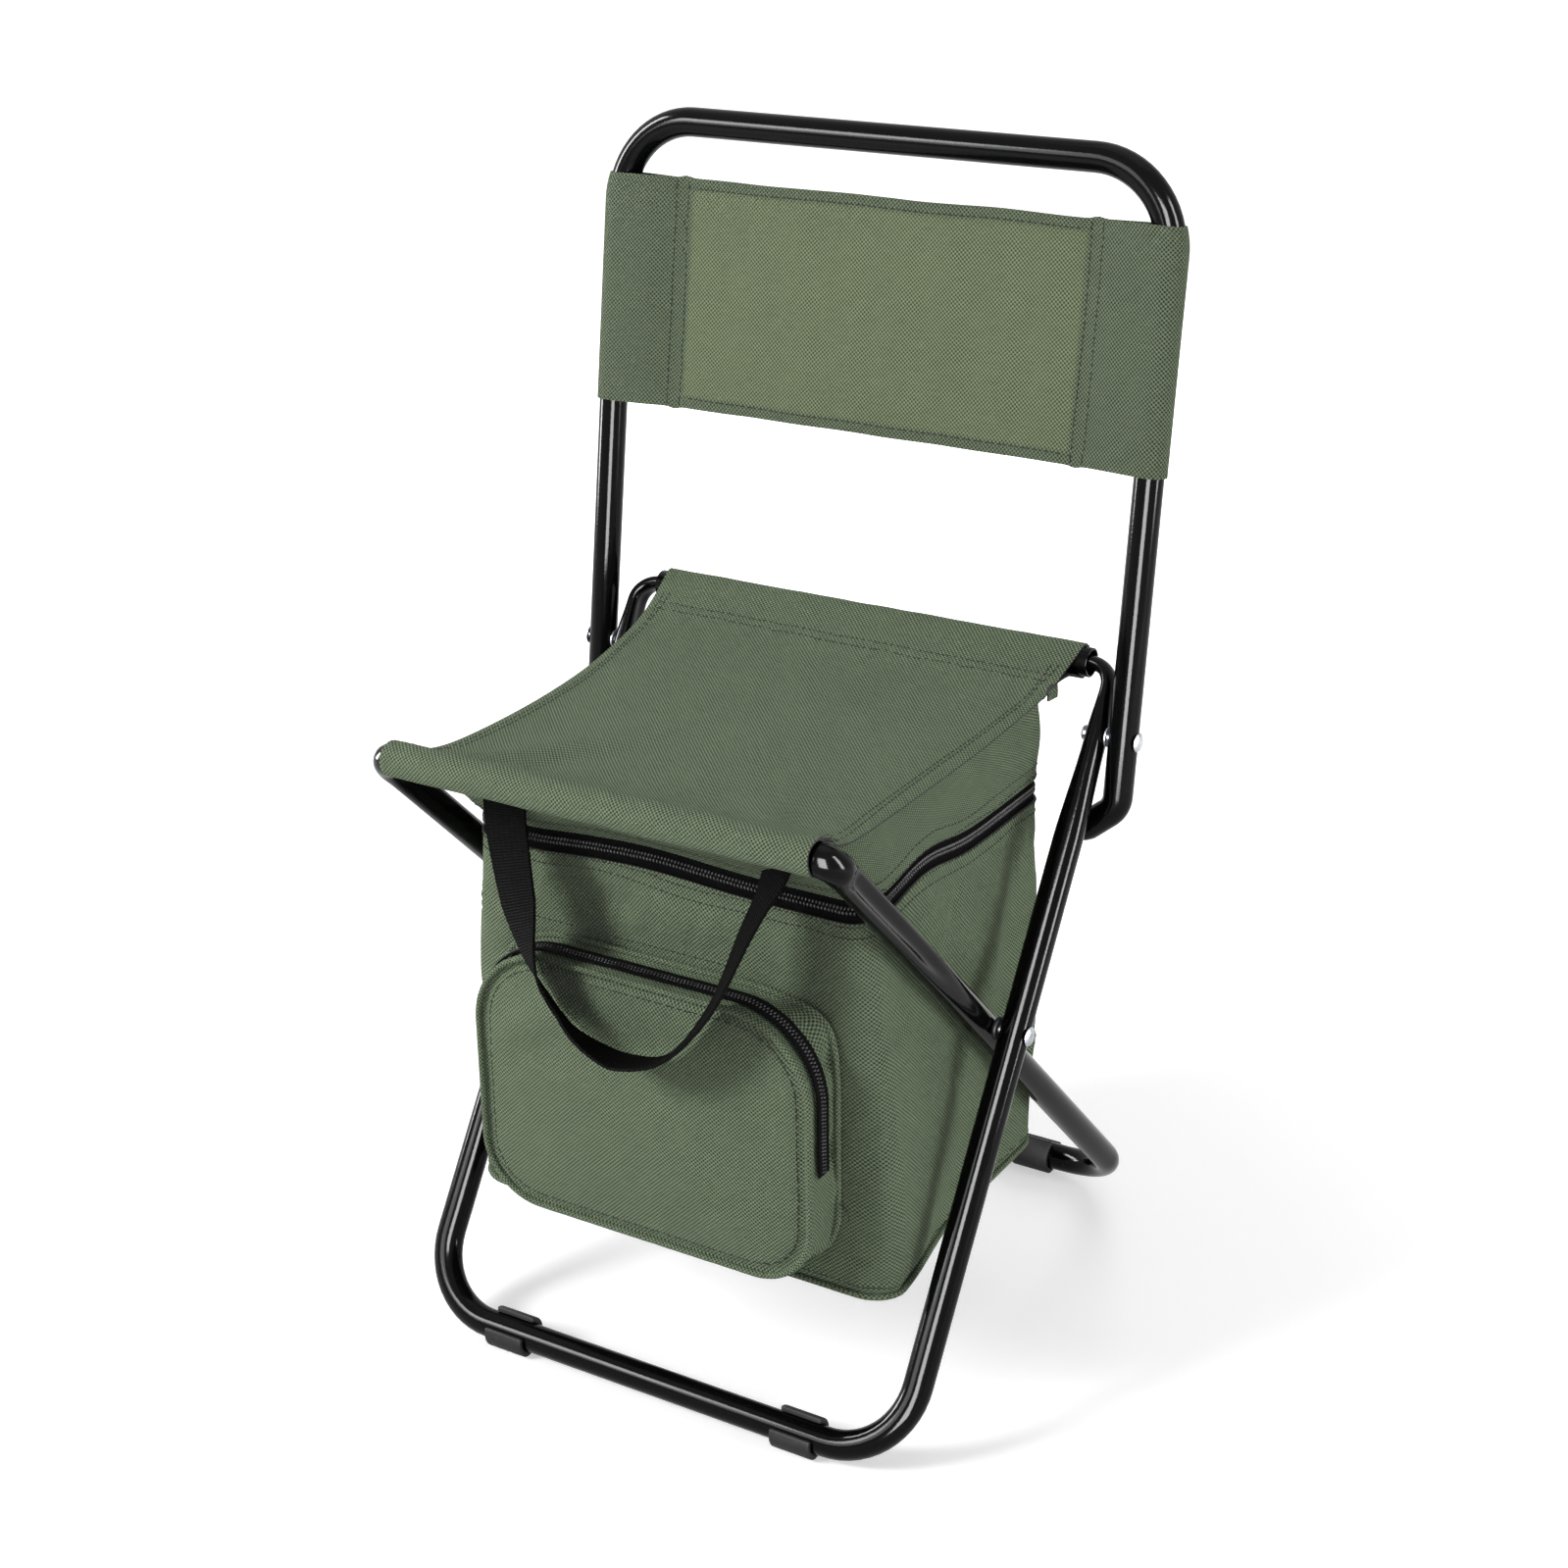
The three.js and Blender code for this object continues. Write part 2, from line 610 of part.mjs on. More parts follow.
// Plan outlines of the bag are rounded rectangles, walked the same way round from the middle of the back.
function planRing(halfWidth, front, rear, radius, heightAt) {
  const quarter = { radius, turn: Math.PI / 2, steps: 4 };
  const halfBack = { straight: halfWidth - radius };
  const side = { straight: rear - front - 2 * radius, steps: 4 };
  const across = { straight: 2 * (halfWidth - radius), steps: 4 };
  const stations = walk(new THREE.Vector2(0, rear), Math.PI,
    [halfBack, quarter, side, quarter, across, quarter, side, quarter, halfBack]);
  stations.pop();
  return stations.map(({ at }) => new THREE.Vector3(at.x, at.y, heightAt(at.y)));
}

function bagRing(inset, height, top = false) {
  const front = top ? frontRail.x + sleeveOuter + canvas : -bagFrontReach;
  const rear = top ? bagTopRearReach : bagRearReach;
  return planRing(bagHalfWidth - inset, front + inset, rear - inset, bagCornerRadius - inset, height);
}

// Skirt: the band of the bag between the seat and the main zip. Its front slopes up to the front sleeve.
const zipTop = zipHeight + zipBandWidth / 2;
const zipBottom = zipHeight - zipBandWidth / 2;
const underSeat = (y) => seatTop(y) - canvas - clearance;
const skirtFoot = () => zipTop + clearance;
addPiece(stool, 'bag_skirt', skin([
  bagRing(0, skirtFoot), bagRing(0, underSeat, true),
  bagRing(canvas, underSeat, true), bagRing(canvas, skirtFoot),
], true), greenCanvas);

// Foam under the seat, which is the cooler's lid.
function lidFoam() {
  const from = frontRail.x + sleeveOuter + canvas + bagCornerRadius + lidFoamThickness;
  const to = bagTopRearReach - bagCornerRadius;
  const line = evenly(from, to, 8);
  const shape = new THREE.Shape([
    ...line.map((y) => new THREE.Vector2(y, underSeat(y))),
    ...line.reverse().map((y) => new THREE.Vector2(y, underSeat(y) - lidFoamThickness)),
  ]);
  return sideExtrusion(shape, 1, () => bagHalfWidth - canvas - clearance);
}
addPiece(stool, 'lid_foam', lidFoam(), silverFoil);

// The tub below the zip: canvas shell, foam and lining nest in each other, each open at the top.
function tub(inset, wall, floor, bevel) {
  return skin([
    bagRing(inset + bevel, () => floor),
    bagRing(inset, () => floor + bevel),
    bagRing(inset, () => zipBottom - clearance),
    bagRing(inset + wall, () => zipBottom - clearance),
    bagRing(inset + wall, () => floor + bevel),
    bagRing(inset + bevel, () => floor + wall),
  ], false);
}

const boardInset = canvas + bagBottomChamfer + clearance;
const boardFloor = bagBottomHeight + canvas + clearance;
const foamInset = canvas + clearance;
const foamFloor = boardFloor + baseBoardThickness + clearance;
const liningInset = foamInset + foamThickness + clearance;
const liningFloor = foamFloor + foamThickness + clearance;
addPiece(stool, 'bag_shell', tub(0, canvas, bagBottomHeight, bagBottomChamfer), greenCanvas);
addPiece(stool, 'bag_base_board', skin([
  bagRing(boardInset, () => boardFloor), bagRing(boardInset, () => boardFloor + baseBoardThickness),
], false), greyBoard);
addPiece(stool, 'bag_foam', tub(foamInset, foamThickness, foamFloor, foamThickness), whiteFoam);
addPiece(stool, 'bag_lining', tub(liningInset, liningThickness, liningFloor, liningThickness), silverFoil);

// A round cord along a closed loop of points, with its own radius.
function loopCord(points, radius, sides) {
  const rings = points.map((point, i) => {
    const before = points[(i + points.length - 1) % points.length];
    const after = points[(i + 1) % points.length];
    const ahead = after.clone().sub(before).normalize();
    const first = loopAxis(points).cross(ahead).normalize();
    const second = ahead.clone().cross(first);
    return Array.from({ length: sides }, (_, k) => {
      const angle = 2 * Math.PI * k / sides;
      return point.clone().addScaledVector(first, radius * Math.cos(angle))
        .addScaledVector(second, radius * Math.sin(angle));
    });
  });
  return skin(rings, true);
}

// The direction that a flat loop of points faces.
function loopAxis(points) {
  const axis = new THREE.Vector3();
  points.forEach((point, i) => {
    axis.add(new THREE.Vector3().crossVectors(point, points[(i + 1) % points.length]));
  });
  return axis.normalize();
}

// Piping lies in the bevel round the bottom of the shell.
const pipingRadius = pipingDiameter / 2;
const bevelMiddle = bagBottomChamfer / 2 - (pipingRadius + clearance) * Math.SQRT1_2;
addPiece(stool, 'bag_base_piping',
  loopCord(bagRing(bevelMiddle, () => bagBottomHeight + bevelMiddle), pipingRadius, 6), greenCanvas);

// Strips of the zip band follow the front and sides of the bag and turn a little way on to the back. Between
// the ends of the zip is a strip of canvas on which the open tub swings.
function bandStrip(stations, low, high, thickness) {
  const rings = stations.map((station) => {
    const outward = leftOf(station).negate();
    const inner = station.at.clone().addScaledVector(outward, -thickness);
    return [
      new THREE.Vector3(station.at.x, station.at.y, low), new THREE.Vector3(station.at.x, station.at.y, high),
      new THREE.Vector3(inner.x, inner.y, high), new THREE.Vector3(inner.x, inner.y, low),
    ];
  });
  return skin(rings, false);
}

const bandCorner = { radius: bagCornerRadius, turn: Math.PI / 2, steps: 4 };
const zipEndX = bagHalfWidth - bagCornerRadius - zipRearReach;
const zipRear = { straight: zipRearReach };
const zipSide = { straight: bagFrontReach + bagRearReach - 2 * bagCornerRadius };
const zipFront = { straight: 2 * (bagHalfWidth - bagCornerRadius) };
const zipPath = walk(new THREE.Vector2(-zipEndX, bagRearReach), Math.PI,
  [zipRear, bandCorner, zipSide, bandCorner, zipFront, bandCorner, zipSide, bandCorner, zipRear]);
const hingePath = walk(new THREE.Vector2(zipEndX - clearance, bagRearReach), Math.PI,
  [{ straight: 2 * (zipEndX - clearance) }]);
const halfGap = clearance / 2;
addPiece(stool, 'main_zip_upper_tape', bandStrip(zipPath, zipHeight + halfGap, zipTop, zipTapeThickness),
  blackWebbing);
addPiece(stool, 'main_zip_lower_tape', bandStrip(zipPath, zipBottom, zipHeight - halfGap, zipTapeThickness),
  blackWebbing);
addPiece(stool, 'bag_rear_hinge', bandStrip(hingePath, zipBottom, zipTop, canvas), greenCanvas);

// Front pocket: a gusset that stands off the bag's front, closed by a crowned panel with piping round it.
const pocketTopHeight = pocketBottomHeight + pocketHeight;
const pocketBase = -bagFrontReach - clearance;
const pocketFront = pocketBase - pocketDepth;

function pocketRing(inset, y) {
  const low = { radius: pocketBottomRadius - inset, turn: Math.PI / 2, steps: 5 };
  const high = { radius: pocketTopRadius - inset, turn: Math.PI / 2, steps: 6 };
  const halfBottom = { straight: pocketHalfWidth - pocketBottomRadius };
  const side = { straight: pocketHeight - pocketBottomRadius - pocketTopRadius, steps: 2 };
  const top = { straight: 2 * (pocketHalfWidth - pocketTopRadius), steps: 2 };
  const stations = walk(new THREE.Vector2(0, pocketBottomHeight + inset), 0,
    [halfBottom, low, side, high, top, high, side, low, halfBottom]);
  stations.pop();
  return stations.map(({ at }) => new THREE.Vector3(at.x, y, at.y));
}

addPiece(stool, 'pocket_gusset', skin([
  pocketRing(0, pocketBase), pocketRing(0, pocketFront), pocketRing(canvas, pocketFront),
  pocketRing(canvas, pocketBase),
], true), greenCanvas);

function pocketPanel() {
  const rim = pocketRing(pipingRadius + clearance, 0);
  const centre = new THREE.Vector3(0, 0, pocketBottomHeight + pocketHeight / 2);
  const layer = (share, y) => rim.map((point) => {
    const place = point.clone().sub(centre).multiplyScalar(share).add(centre);
    place.y = y - pocketCrown * (1 - share ** 2);
    return place;
  });
  const back = pocketFront - clearance;
  const shares = [0.2, 0.55, 0.85, 1];
  return skin([
    ...shares.map((share) => layer(share, back)),
    ...shares.reverse().map((share) => layer(share, back - canvas)),
  ], false);
}
addPiece(stool, 'pocket_panel', pocketPanel(), greenCanvas);
const frontPipingY = pocketFront - clearance - pipingRadius;
addPiece(stool, 'pocket_front_piping', loopCord(pocketRing(0, frontPipingY), pipingRadius, 6), greenCanvas);
const basePipingY = pocketBase - pipingRadius;
addPiece(stool, 'pocket_base_piping',
  loopCord(pocketRing(-pipingRadius - clearance, basePipingY), pipingRadius, 6), greenCanvas);

// The pocket's zip runs up one side, over the top and down the other, near the front edge of the gusset.
function pocketZip() {
  const side = { straight: pocketTopHeight - pocketTopRadius - pocketZipEndHeight };
  const corner = { radius: pocketTopRadius, turn: -Math.PI / 2, steps: 6 };
  const stations = walk(new THREE.Vector2(-pocketHalfWidth, pocketZipEndHeight), Math.PI / 2,
    [side, corner, { straight: 2 * (pocketHalfWidth - pocketTopRadius) }, corner, side]);
  const front = pocketFront + pocketZipInset;
  const rings = stations.map((station) => {
    const outward = leftOf(station);
    const low = station.at.clone().addScaledVector(outward, clearance);
    const high = station.at.clone().addScaledVector(outward, clearance + zipTapeThickness);
    return [
      new THREE.Vector3(low.x, front, low.y), new THREE.Vector3(high.x, front, high.y),
      new THREE.Vector3(high.x, front + pocketZipWidth, high.y),
      new THREE.Vector3(low.x, front + pocketZipWidth, low.y),
    ];
  });
  return skin(rings, false);
}
addPiece(stool, 'pocket_zip_tape', pocketZip(), blackWebbing);

// Carry strap: flat webbing sewn to the sloping front of the skirt. It hangs in a loop and turns a quarter
// twist on each side, so that it lies flat at the bottom of the loop.
const skirtFrontTop = frontRail.x + sleeveOuter + canvas;
const skirtSlope = (skirtFrontTop + bagFrontReach) / (underSeat(skirtFrontTop) - skirtFoot());
const strapSewnHeight = frontRail.y - strapSewnDrop;
const strapSewnY = -bagFrontReach + skirtSlope * (strapSewnHeight - skirtFoot())
  - strapThickness / 2 - 2 * clearance;
const strapBottomY = pocketFront - pocketCrown - canvas - 4 * clearance - strapWidth / 2;

function carryStrap() {
  const steps = 20;
  const fullness = 0.8;
  const swingOutBy = 0.65;
  const [twistFrom, twistTo] = [0.15, 0.85];
  const stations = [];
  for (let i = 0; i <= steps; i++) {
    const angle = Math.PI * i / steps;
    const depth = Math.sin(angle) ** fullness;
    const side = Math.sign(2 * i - steps);
    const x = side * strapHalfSpan * Math.abs(Math.cos(angle)) ** fullness;
    const swingOut = THREE.MathUtils.smoothstep(depth, 0, swingOutBy);
    const y = THREE.MathUtils.lerp(strapSewnY, strapBottomY, swingOut);
    const z = strapSewnHeight - strapDrop * depth;
    const twist = Math.PI / 2 * (1 - THREE.MathUtils.smoothstep(depth, twistFrom, twistTo));
    const across = new THREE.Vector3(-side * Math.sin(twist), -Math.cos(twist), 0);
    stations.push({ centre: new THREE.Vector3(x, y, z), across });
  }
  return skin(stations.map(({ centre, across }, i) => {
    const before = stations[Math.max(0, i - 1)].centre;
    const after = stations[Math.min(steps, i + 1)].centre;
    const ahead = after.clone().sub(before).normalize();
    const face = ahead.clone().cross(across).normalize();
    const wide = face.clone().cross(ahead).normalize();
    const corner = (w, t) => centre.clone().addScaledVector(wide, w * strapWidth / 2)
      .addScaledVector(face, t * strapThickness / 2);
    return [corner(-1, -1), corner(1, -1), corner(1, 1), corner(-1, 1)];
  }), false);
}
addPiece(stool, 'carry_strap', carryStrap(), blackWebbing);

// Zip slider: a plate with a bridge over it, and a pull whose end bar lies in the bridge. Both are drawn with
// the tape's run along local X and the tape's outer side along local Z.
const bridgeHalfGap = pullThickness / 2 + 2 * clearance;
const pullPivotHeight = sliderHeight - bridgeWall - bridgeHalfGap;

function zipSlider() {
  const half = sliderLength / 2;
  const bridge = bridgeLength / 2;
  const shape = new THREE.Shape([[-half, 0], [half, 0], [half, sliderPlate], [bridge, sliderHeight],
    [-bridge, sliderHeight], [-half, sliderPlate]].map(([x, y]) => new THREE.Vector2(x, y)));
  const gap = bridge - bridgeWall;
  const low = pullPivotHeight - bridgeHalfGap;
  const high = pullPivotHeight + bridgeHalfGap;
  shape.holes.push(new THREE.Path([[-gap, low], [gap, low], [gap, high], [-gap, high]]
    .map(([x, y]) => new THREE.Vector2(x, y))));
  const body = new THREE.ExtrudeGeometry(shape, { depth: sliderWidth, steps: 1, bevelEnabled: false });
  return body.rotateX(Math.PI / 2).translate(0, sliderWidth / 2, 0);
}

function zipPull() {
  const half = pullWidth / 2;
  const bar = pullThickness / 2;
  const tip = pullTipWidth / 2;
  const windowHalf = sliderWidth / 2 + 2 * clearance;
  const shoulder = pullWindowLength + pullShoulder;
  const outline = [[-bar, -half], [shoulder, -half], [pullLength - tip, -tip], [pullLength, -tip / 2],
    [pullLength, tip / 2], [pullLength - tip, tip], [shoulder, half], [-bar, half]];
  const shape = new THREE.Shape(outline.map(([x, y]) => new THREE.Vector2(x, y)));
  const eye = [[bar, -windowHalf], [pullWindowLength, -windowHalf], [pullWindowLength, windowHalf],
    [bar, windowHalf]];
  shape.holes.push(new THREE.Path(eye.map(([x, y]) => new THREE.Vector2(x, y))));
  const body = new THREE.ExtrudeGeometry(shape, { depth: pullThickness, steps: 1, bevelEnabled: false });
  return body.translate(0, 0, pullPivotHeight - bar);
}

// Places a slider and its pull. The run is the way that the pull points, and outward is away from the tape.
function addSlider(name, place, run, outward) {
  const holder = new THREE.Group();
  const across = outward.clone().cross(run);
  holder.applyMatrix4(new THREE.Matrix4().makeBasis(run, across, outward).setPosition(place));
  stool.add(holder);
  addPiece(holder, `${name}_slider`, zipSlider(), zinc);
  addPiece(holder, `${name}_pull`, zipPull(), zinc);
}

addSlider('main_zip',
  new THREE.Vector3(-zipEndX - sliderLength / 2 - canvas, bagRearReach + clearance, zipHeight),
  new THREE.Vector3(1, 0, 0), new THREE.Vector3(0, 1, 0));
addSlider('pocket_zip',
  new THREE.Vector3(-pocketHalfWidth - zipTapeThickness - 2 * clearance,
    pocketFront + pocketZipInset + pocketZipWidth / 2, pocketZipEndHeight + sliderLength / 2 + canvas),
  new THREE.Vector3(0, 0, -1), new THREE.Vector3(-1, 0, 0));

// The origin is on the floor, below the middle of the stool's length.
const frontmost = frontRail.x - sleeveOuter;
const rearmost = rearBar.x + tubeRadius + footThickness + footFlatDepth;
stool.position.y = -(frontmost + rearmost) / 2;

export default stool;
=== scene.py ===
import math

import bmesh
import bpy
from mathutils import Matrix, Vector, noise
from mathutils.bvhtree import BVHTree


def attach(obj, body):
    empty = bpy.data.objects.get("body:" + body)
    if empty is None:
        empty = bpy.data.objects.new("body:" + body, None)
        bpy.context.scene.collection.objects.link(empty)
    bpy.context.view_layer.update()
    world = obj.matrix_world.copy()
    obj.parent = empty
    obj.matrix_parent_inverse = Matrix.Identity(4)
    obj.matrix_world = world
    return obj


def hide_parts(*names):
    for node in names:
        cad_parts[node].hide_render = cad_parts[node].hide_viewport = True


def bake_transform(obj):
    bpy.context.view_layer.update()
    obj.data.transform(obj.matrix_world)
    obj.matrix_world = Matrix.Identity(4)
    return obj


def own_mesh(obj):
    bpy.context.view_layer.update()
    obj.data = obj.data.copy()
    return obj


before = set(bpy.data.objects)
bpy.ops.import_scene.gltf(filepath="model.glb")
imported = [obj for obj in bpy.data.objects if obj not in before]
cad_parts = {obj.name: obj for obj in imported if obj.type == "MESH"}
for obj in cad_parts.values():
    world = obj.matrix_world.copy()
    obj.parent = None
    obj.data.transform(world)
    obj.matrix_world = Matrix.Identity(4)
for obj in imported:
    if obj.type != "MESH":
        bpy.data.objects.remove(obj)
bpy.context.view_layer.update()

# Front leg frame. One length of steel tube is bent to a U that stands on its middle. Its two tops are pressed
# thin, grooved on the inside and bent inwards, so that they plug into the rear seat rail. Gloss black paint.
mm = 0.001
tube_radius = 8 * mm
tube_width = 2 * tube_radius
floor_bend = 42 * mm
neck_bend = 13 * mm
neck_stub = 18 * mm
neck_end = neck_stub + neck_bend * math.pi / 2
bar_height = 10.5 * mm
front_bar_y = -145.4 * mm
front_half_width = 150 * mm
front_leg_run, front_leg_rise = 238 * mm, 358.5 * mm
front_pressed = 85 * mm
front_groove = 1.8 * mm


def verts_of(geometry):
    return [item for item in geometry if isinstance(item, bmesh.types.BMVert)]


def ring_edges(ring):
    members = set(ring)
    found = (edge for vert in ring for edge in vert.link_edges if edge.other_vert(vert) in members)
    return list(dict.fromkeys(found))


def draw_ring(bm, ring, shift=(0, 0, 0)):
    drawn = verts_of(bmesh.ops.extrude_edge_only(bm, edges=ring_edges(ring))["geom"])
    bmesh.ops.translate(bm, verts=drawn, vec=shift)
    return drawn


def bend_tube(start, heading, moves):
    """Draws tube in the XZ plane, by straights (length, 0, steps) and bends (radius, degrees, steps)."""
    bm = bmesh.new()
    at = Vector((start[0], 0, start[1]))
    ahead = Vector((math.cos(heading), 0, math.sin(heading)))
    side = Vector((-ahead.z, 0, ahead.x))
    place = Matrix((side, (0, -1, 0), ahead)).transposed().to_4x4()
    place.translation = at
    ring = bmesh.ops.create_circle(bm, radius=tube_radius, segments=32, matrix=place)["verts"]
    along = 0
    rings = [(ring, at, side, along)]
    for size, degrees, steps in moves:
        turn = math.radians(degrees) / steps
        for _ in range(steps):
            if degrees:
                centre = at + side * math.copysign(size, turn)
                swing = Matrix.Rotation(-turn, 3, "Y")
                spun = bmesh.ops.spin(bm, geom=ring_edges(ring), cent=centre, axis=(0, 1, 0), angle=-turn,
                                      steps=1)
                ring = verts_of(spun["geom_last"])
                at = centre + swing @ (at - centre)
                side = swing @ side
                along += size * abs(turn)
            else:
                step = Vector((side.z, 0, -side.x)) * size / steps
                ring = draw_ring(bm, ring, step)
                at = at + step
                along += size / steps
            rings.append((ring, at, side, along))
    return bm, rings


def ease(share):
    """A share from 0 to 1 that starts and stops smoothly."""
    return share * share * (3 - 2 * share)


def press_tube(rings, sections, groove_side):
    """Presses each ring to the thickness, width and groove listed by distance from the tube's nearer end."""
    total = rings[-1][3]
    for ring, centre, side, along in rings:
        reach = min(along, total - along)
        passed = [section for section in sections if section[0] <= reach][-1]
        ahead = next((section for section in sections if section[0] > reach), passed)
        gap = ahead[0] - passed[0]
        share = ease((reach - passed[0]) / gap if gap else 0)
        thick, wide, groove = (a + (b - a) * share for a, b in zip(passed[1:], ahead[1:]))
        for vert in ring:
            offset = vert.co - centre
            angle = math.atan2(offset.y, offset.dot(side))
            dent = groove_side * groove * max(0, groove_side * math.cos(angle)) ** 6
            vert.co = centre + side * (thick / 2 * math.cos(angle) - dent)
            vert.co.y = wide / 2 * math.sin(angle)


def make_piece(bm, name, *materials, sharp=40):
    mesh = bpy.data.meshes.new(name)
    bm.to_mesh(mesh)
    bm.free()
    for material in materials:
        mesh.materials.append(material)
    mesh.shade_smooth()
    mesh.set_sharp_from_angle(angle=math.radians(sharp))
    piece = bpy.data.objects.new(name, mesh)
    bpy.context.scene.collection.objects.link(piece)
    return piece


def fit(piece, body, node):
    """Fixes a rigid piece to the body it moves with, in place of the solid that it dresses."""
    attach(piece, body)
    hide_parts(node)


def shader(name):
    material = bpy.data.materials.new(name)
    material.use_nodes = True
    return material, material.node_tree, material.node_tree.nodes["Principled BSDF"]


def wire(tree, kind, inputs, **settings):
    """Adds a node, sets its options, and sets or links each of its inputs."""
    node = tree.nodes.new(kind)
    for key, value in settings.items():
        setattr(node, key, value)
    for key, value in inputs.items():
        if isinstance(value, bpy.types.NodeSocket):
            tree.links.new(value, node.inputs[key])
        else:
            node.inputs[key].default_value = value
    return node


def on_piece(tree):
    return wire(tree, "ShaderNodeTexCoord", {}).outputs["Object"]


def blend_colours(tree, share, *colours):
    """Mixes two colours, each of them three numbers or another node's output."""
    first, second = (colour if isinstance(colour, bpy.types.NodeSocket) else (*colour, 1)
                     for colour in colours)
    return wire(tree, "ShaderNodeMix", {0: share, 6: first, 7: second}, data_type="RGBA").outputs[2]


def spread(tree, value, old, new):
    """Carries a value from its old range, low and high, to a new one."""
    return wire(tree, "ShaderNodeMapRange", dict(enumerate((value, *old, *new)))).outputs[0]


def specks(tree, where, scale, detail=3, roughness=0.5):
    return wire(tree, "ShaderNodeTexNoise", {"Vector": where, "Scale": scale, "Detail": detail,
                                             "Roughness": roughness}).outputs[0]


def finish(bsdf, colour, roughness, relief=None, levels=None):
    """Links a shader's colour, roughness and relief (height, strength, depth), and sets its fixed levels."""
    tree = bsdf.id_data
    tree.links.new(colour, bsdf.inputs["Base Color"])
    tree.links.new(roughness, bsdf.inputs["Roughness"])
    if relief:
        height, strength, depth = relief
        bump = wire(tree, "ShaderNodeBump", {"Strength": strength, "Distance": depth, "Height": height})
        tree.links.new(bump.outputs[0], bsdf.inputs["Normal"])
    for name, level in (levels or {}).items():
        bsdf.inputs[name].default_value = level


def gloss_black_paint():
    material, tree, bsdf = shader("gloss_black_paint")
    where = on_piece(tree)
    handling = specks(tree, where, scale=38, detail=6)
    peel = specks(tree, where, scale=900, detail=2)
    dust = spread(tree, specks(tree, where, scale=160, detail=8, roughness=0.7), (0.58, 0.75), (0, 0.5))
    colour = blend_colours(tree, dust, (0.0028, 0.0029, 0.0032), (0.01, 0.01, 0.0105))
    finish(bsdf, colour, spread(tree, handling, (0.3, 0.72), (0.08, 0.15)), relief=(peel, 0.07, 0.3 * mm),
           levels={"Specular IOR Level": 0.08})
    return material


paint = gloss_black_paint()


def make_legs(name, half_width, bar_y, run, rise, pressed, sections, groove_side):
    """Bends one leg frame, presses and closes its tops, and leans it by its run and rise from its bar."""
    length = math.hypot(run, rise)
    plain = length - neck_bend - floor_bend - pressed
    leg = [(neck_stub, 0, 2), (neck_bend, -90, 10), (pressed, 0, 24), (plain, 0, 2), (floor_bend, -90, 14)]
    floor_bar = (2 * (half_width - floor_bend), 0, 2)
    bm, rings = bend_tube((half_width - neck_bend - neck_stub, length), 0, [*leg, floor_bar, *leg[::-1]])
    press_tube(rings, sections, groove_side)
    for ring, *_ in (rings[0], rings[-1]):
        bmesh.ops.contextual_create(bm, geom=ring_edges(ring))
    bmesh.ops.recalc_face_normals(bm, faces=bm.faces)
    place = Matrix.Translation((0, bar_y, bar_height)) @ Matrix.Rotation(-math.atan2(run, rise), 4, "X")
    bmesh.ops.transform(bm, matrix=place, verts=bm.verts)
    return make_piece(bm, name, paint)


stub_section = (8 * mm, 12.4 * mm, 0)
front_sections = [
    (0, *stub_section), (neck_stub, *stub_section), (neck_end, 9 * mm, tube_width, front_groove),
    (neck_end + 24.4 * mm, 12 * mm, tube_width, front_groove),
    (neck_end + front_pressed, tube_width, tube_width, 0),
]
front_legs = make_legs("front_legs", front_half_width, front_bar_y, front_leg_run, front_leg_rise,
                       front_pressed, front_sections, -1)
fit(front_legs, "front_frame", "front_leg_tube")

# Rear leg frame. The same tube in a narrower U that stands inside the front one and leans the other way. Its
# tops are grooved on the outside, creased under a round elbow and plugged into the front seat rail.
rear_bar_y = 172.6 * mm
rear_half_width = 131 * mm
rear_leg_run, rear_leg_rise = -347 * mm, 348 * mm
rear_pressed = 165 * mm
rear_sections = [
    (0, *stub_section), (neck_stub, *stub_section), (neck_stub + 5 * mm, 14.5 * mm, tube_width, 0),
    ((neck_stub + neck_end) / 2, 16.4 * mm, 17 * mm, 0), (neck_end, 15.6 * mm, 17 * mm, 0),
    (neck_end + 4 * mm, 11.6 * mm, 16.6 * mm, 3 * mm), (neck_end + 20 * mm, 12.6 * mm, 16.4 * mm, 4.4 * mm),
    (neck_end + 99 * mm, tube_width, tube_width, 4.6 * mm),
    (neck_end + rear_pressed, tube_width, tube_width, 0),
]
rear_legs = make_legs("rear_legs", rear_half_width, rear_bar_y, rear_leg_run, rear_leg_rise,
                      rear_pressed, rear_sections, 1)
fit(rear_legs, "rear_frame", "rear_leg_tube")

# Seat rails. Two straight tubes that slip over the pressed leg tops and run through the seat's sleeves. Each
# is sawn square, its rim rubbed round, and painted with the frame.
play = 0.3 * mm
rail_wall = 1.2 * mm
front_rail = Vector((0, rear_bar_y + rear_leg_run, bar_height + rear_leg_rise))
rear_rail = Vector((0, front_bar_y + front_leg_run, bar_height + front_leg_rise))


def round_edges(bm, offset, segments, sharper_than=1, clamp_overlap=False):
    """Rounds each edge at which two faces meet more sharply than an angle in radians."""
    rim = [edge for edge in bm.edges if edge.calc_face_angle(0) > sharper_than]
    bmesh.ops.bevel(bm, geom=rim, offset=offset, affect="EDGES", segments=segments, profile=0.5, material=-1,
                    clamp_overlap=clamp_overlap)


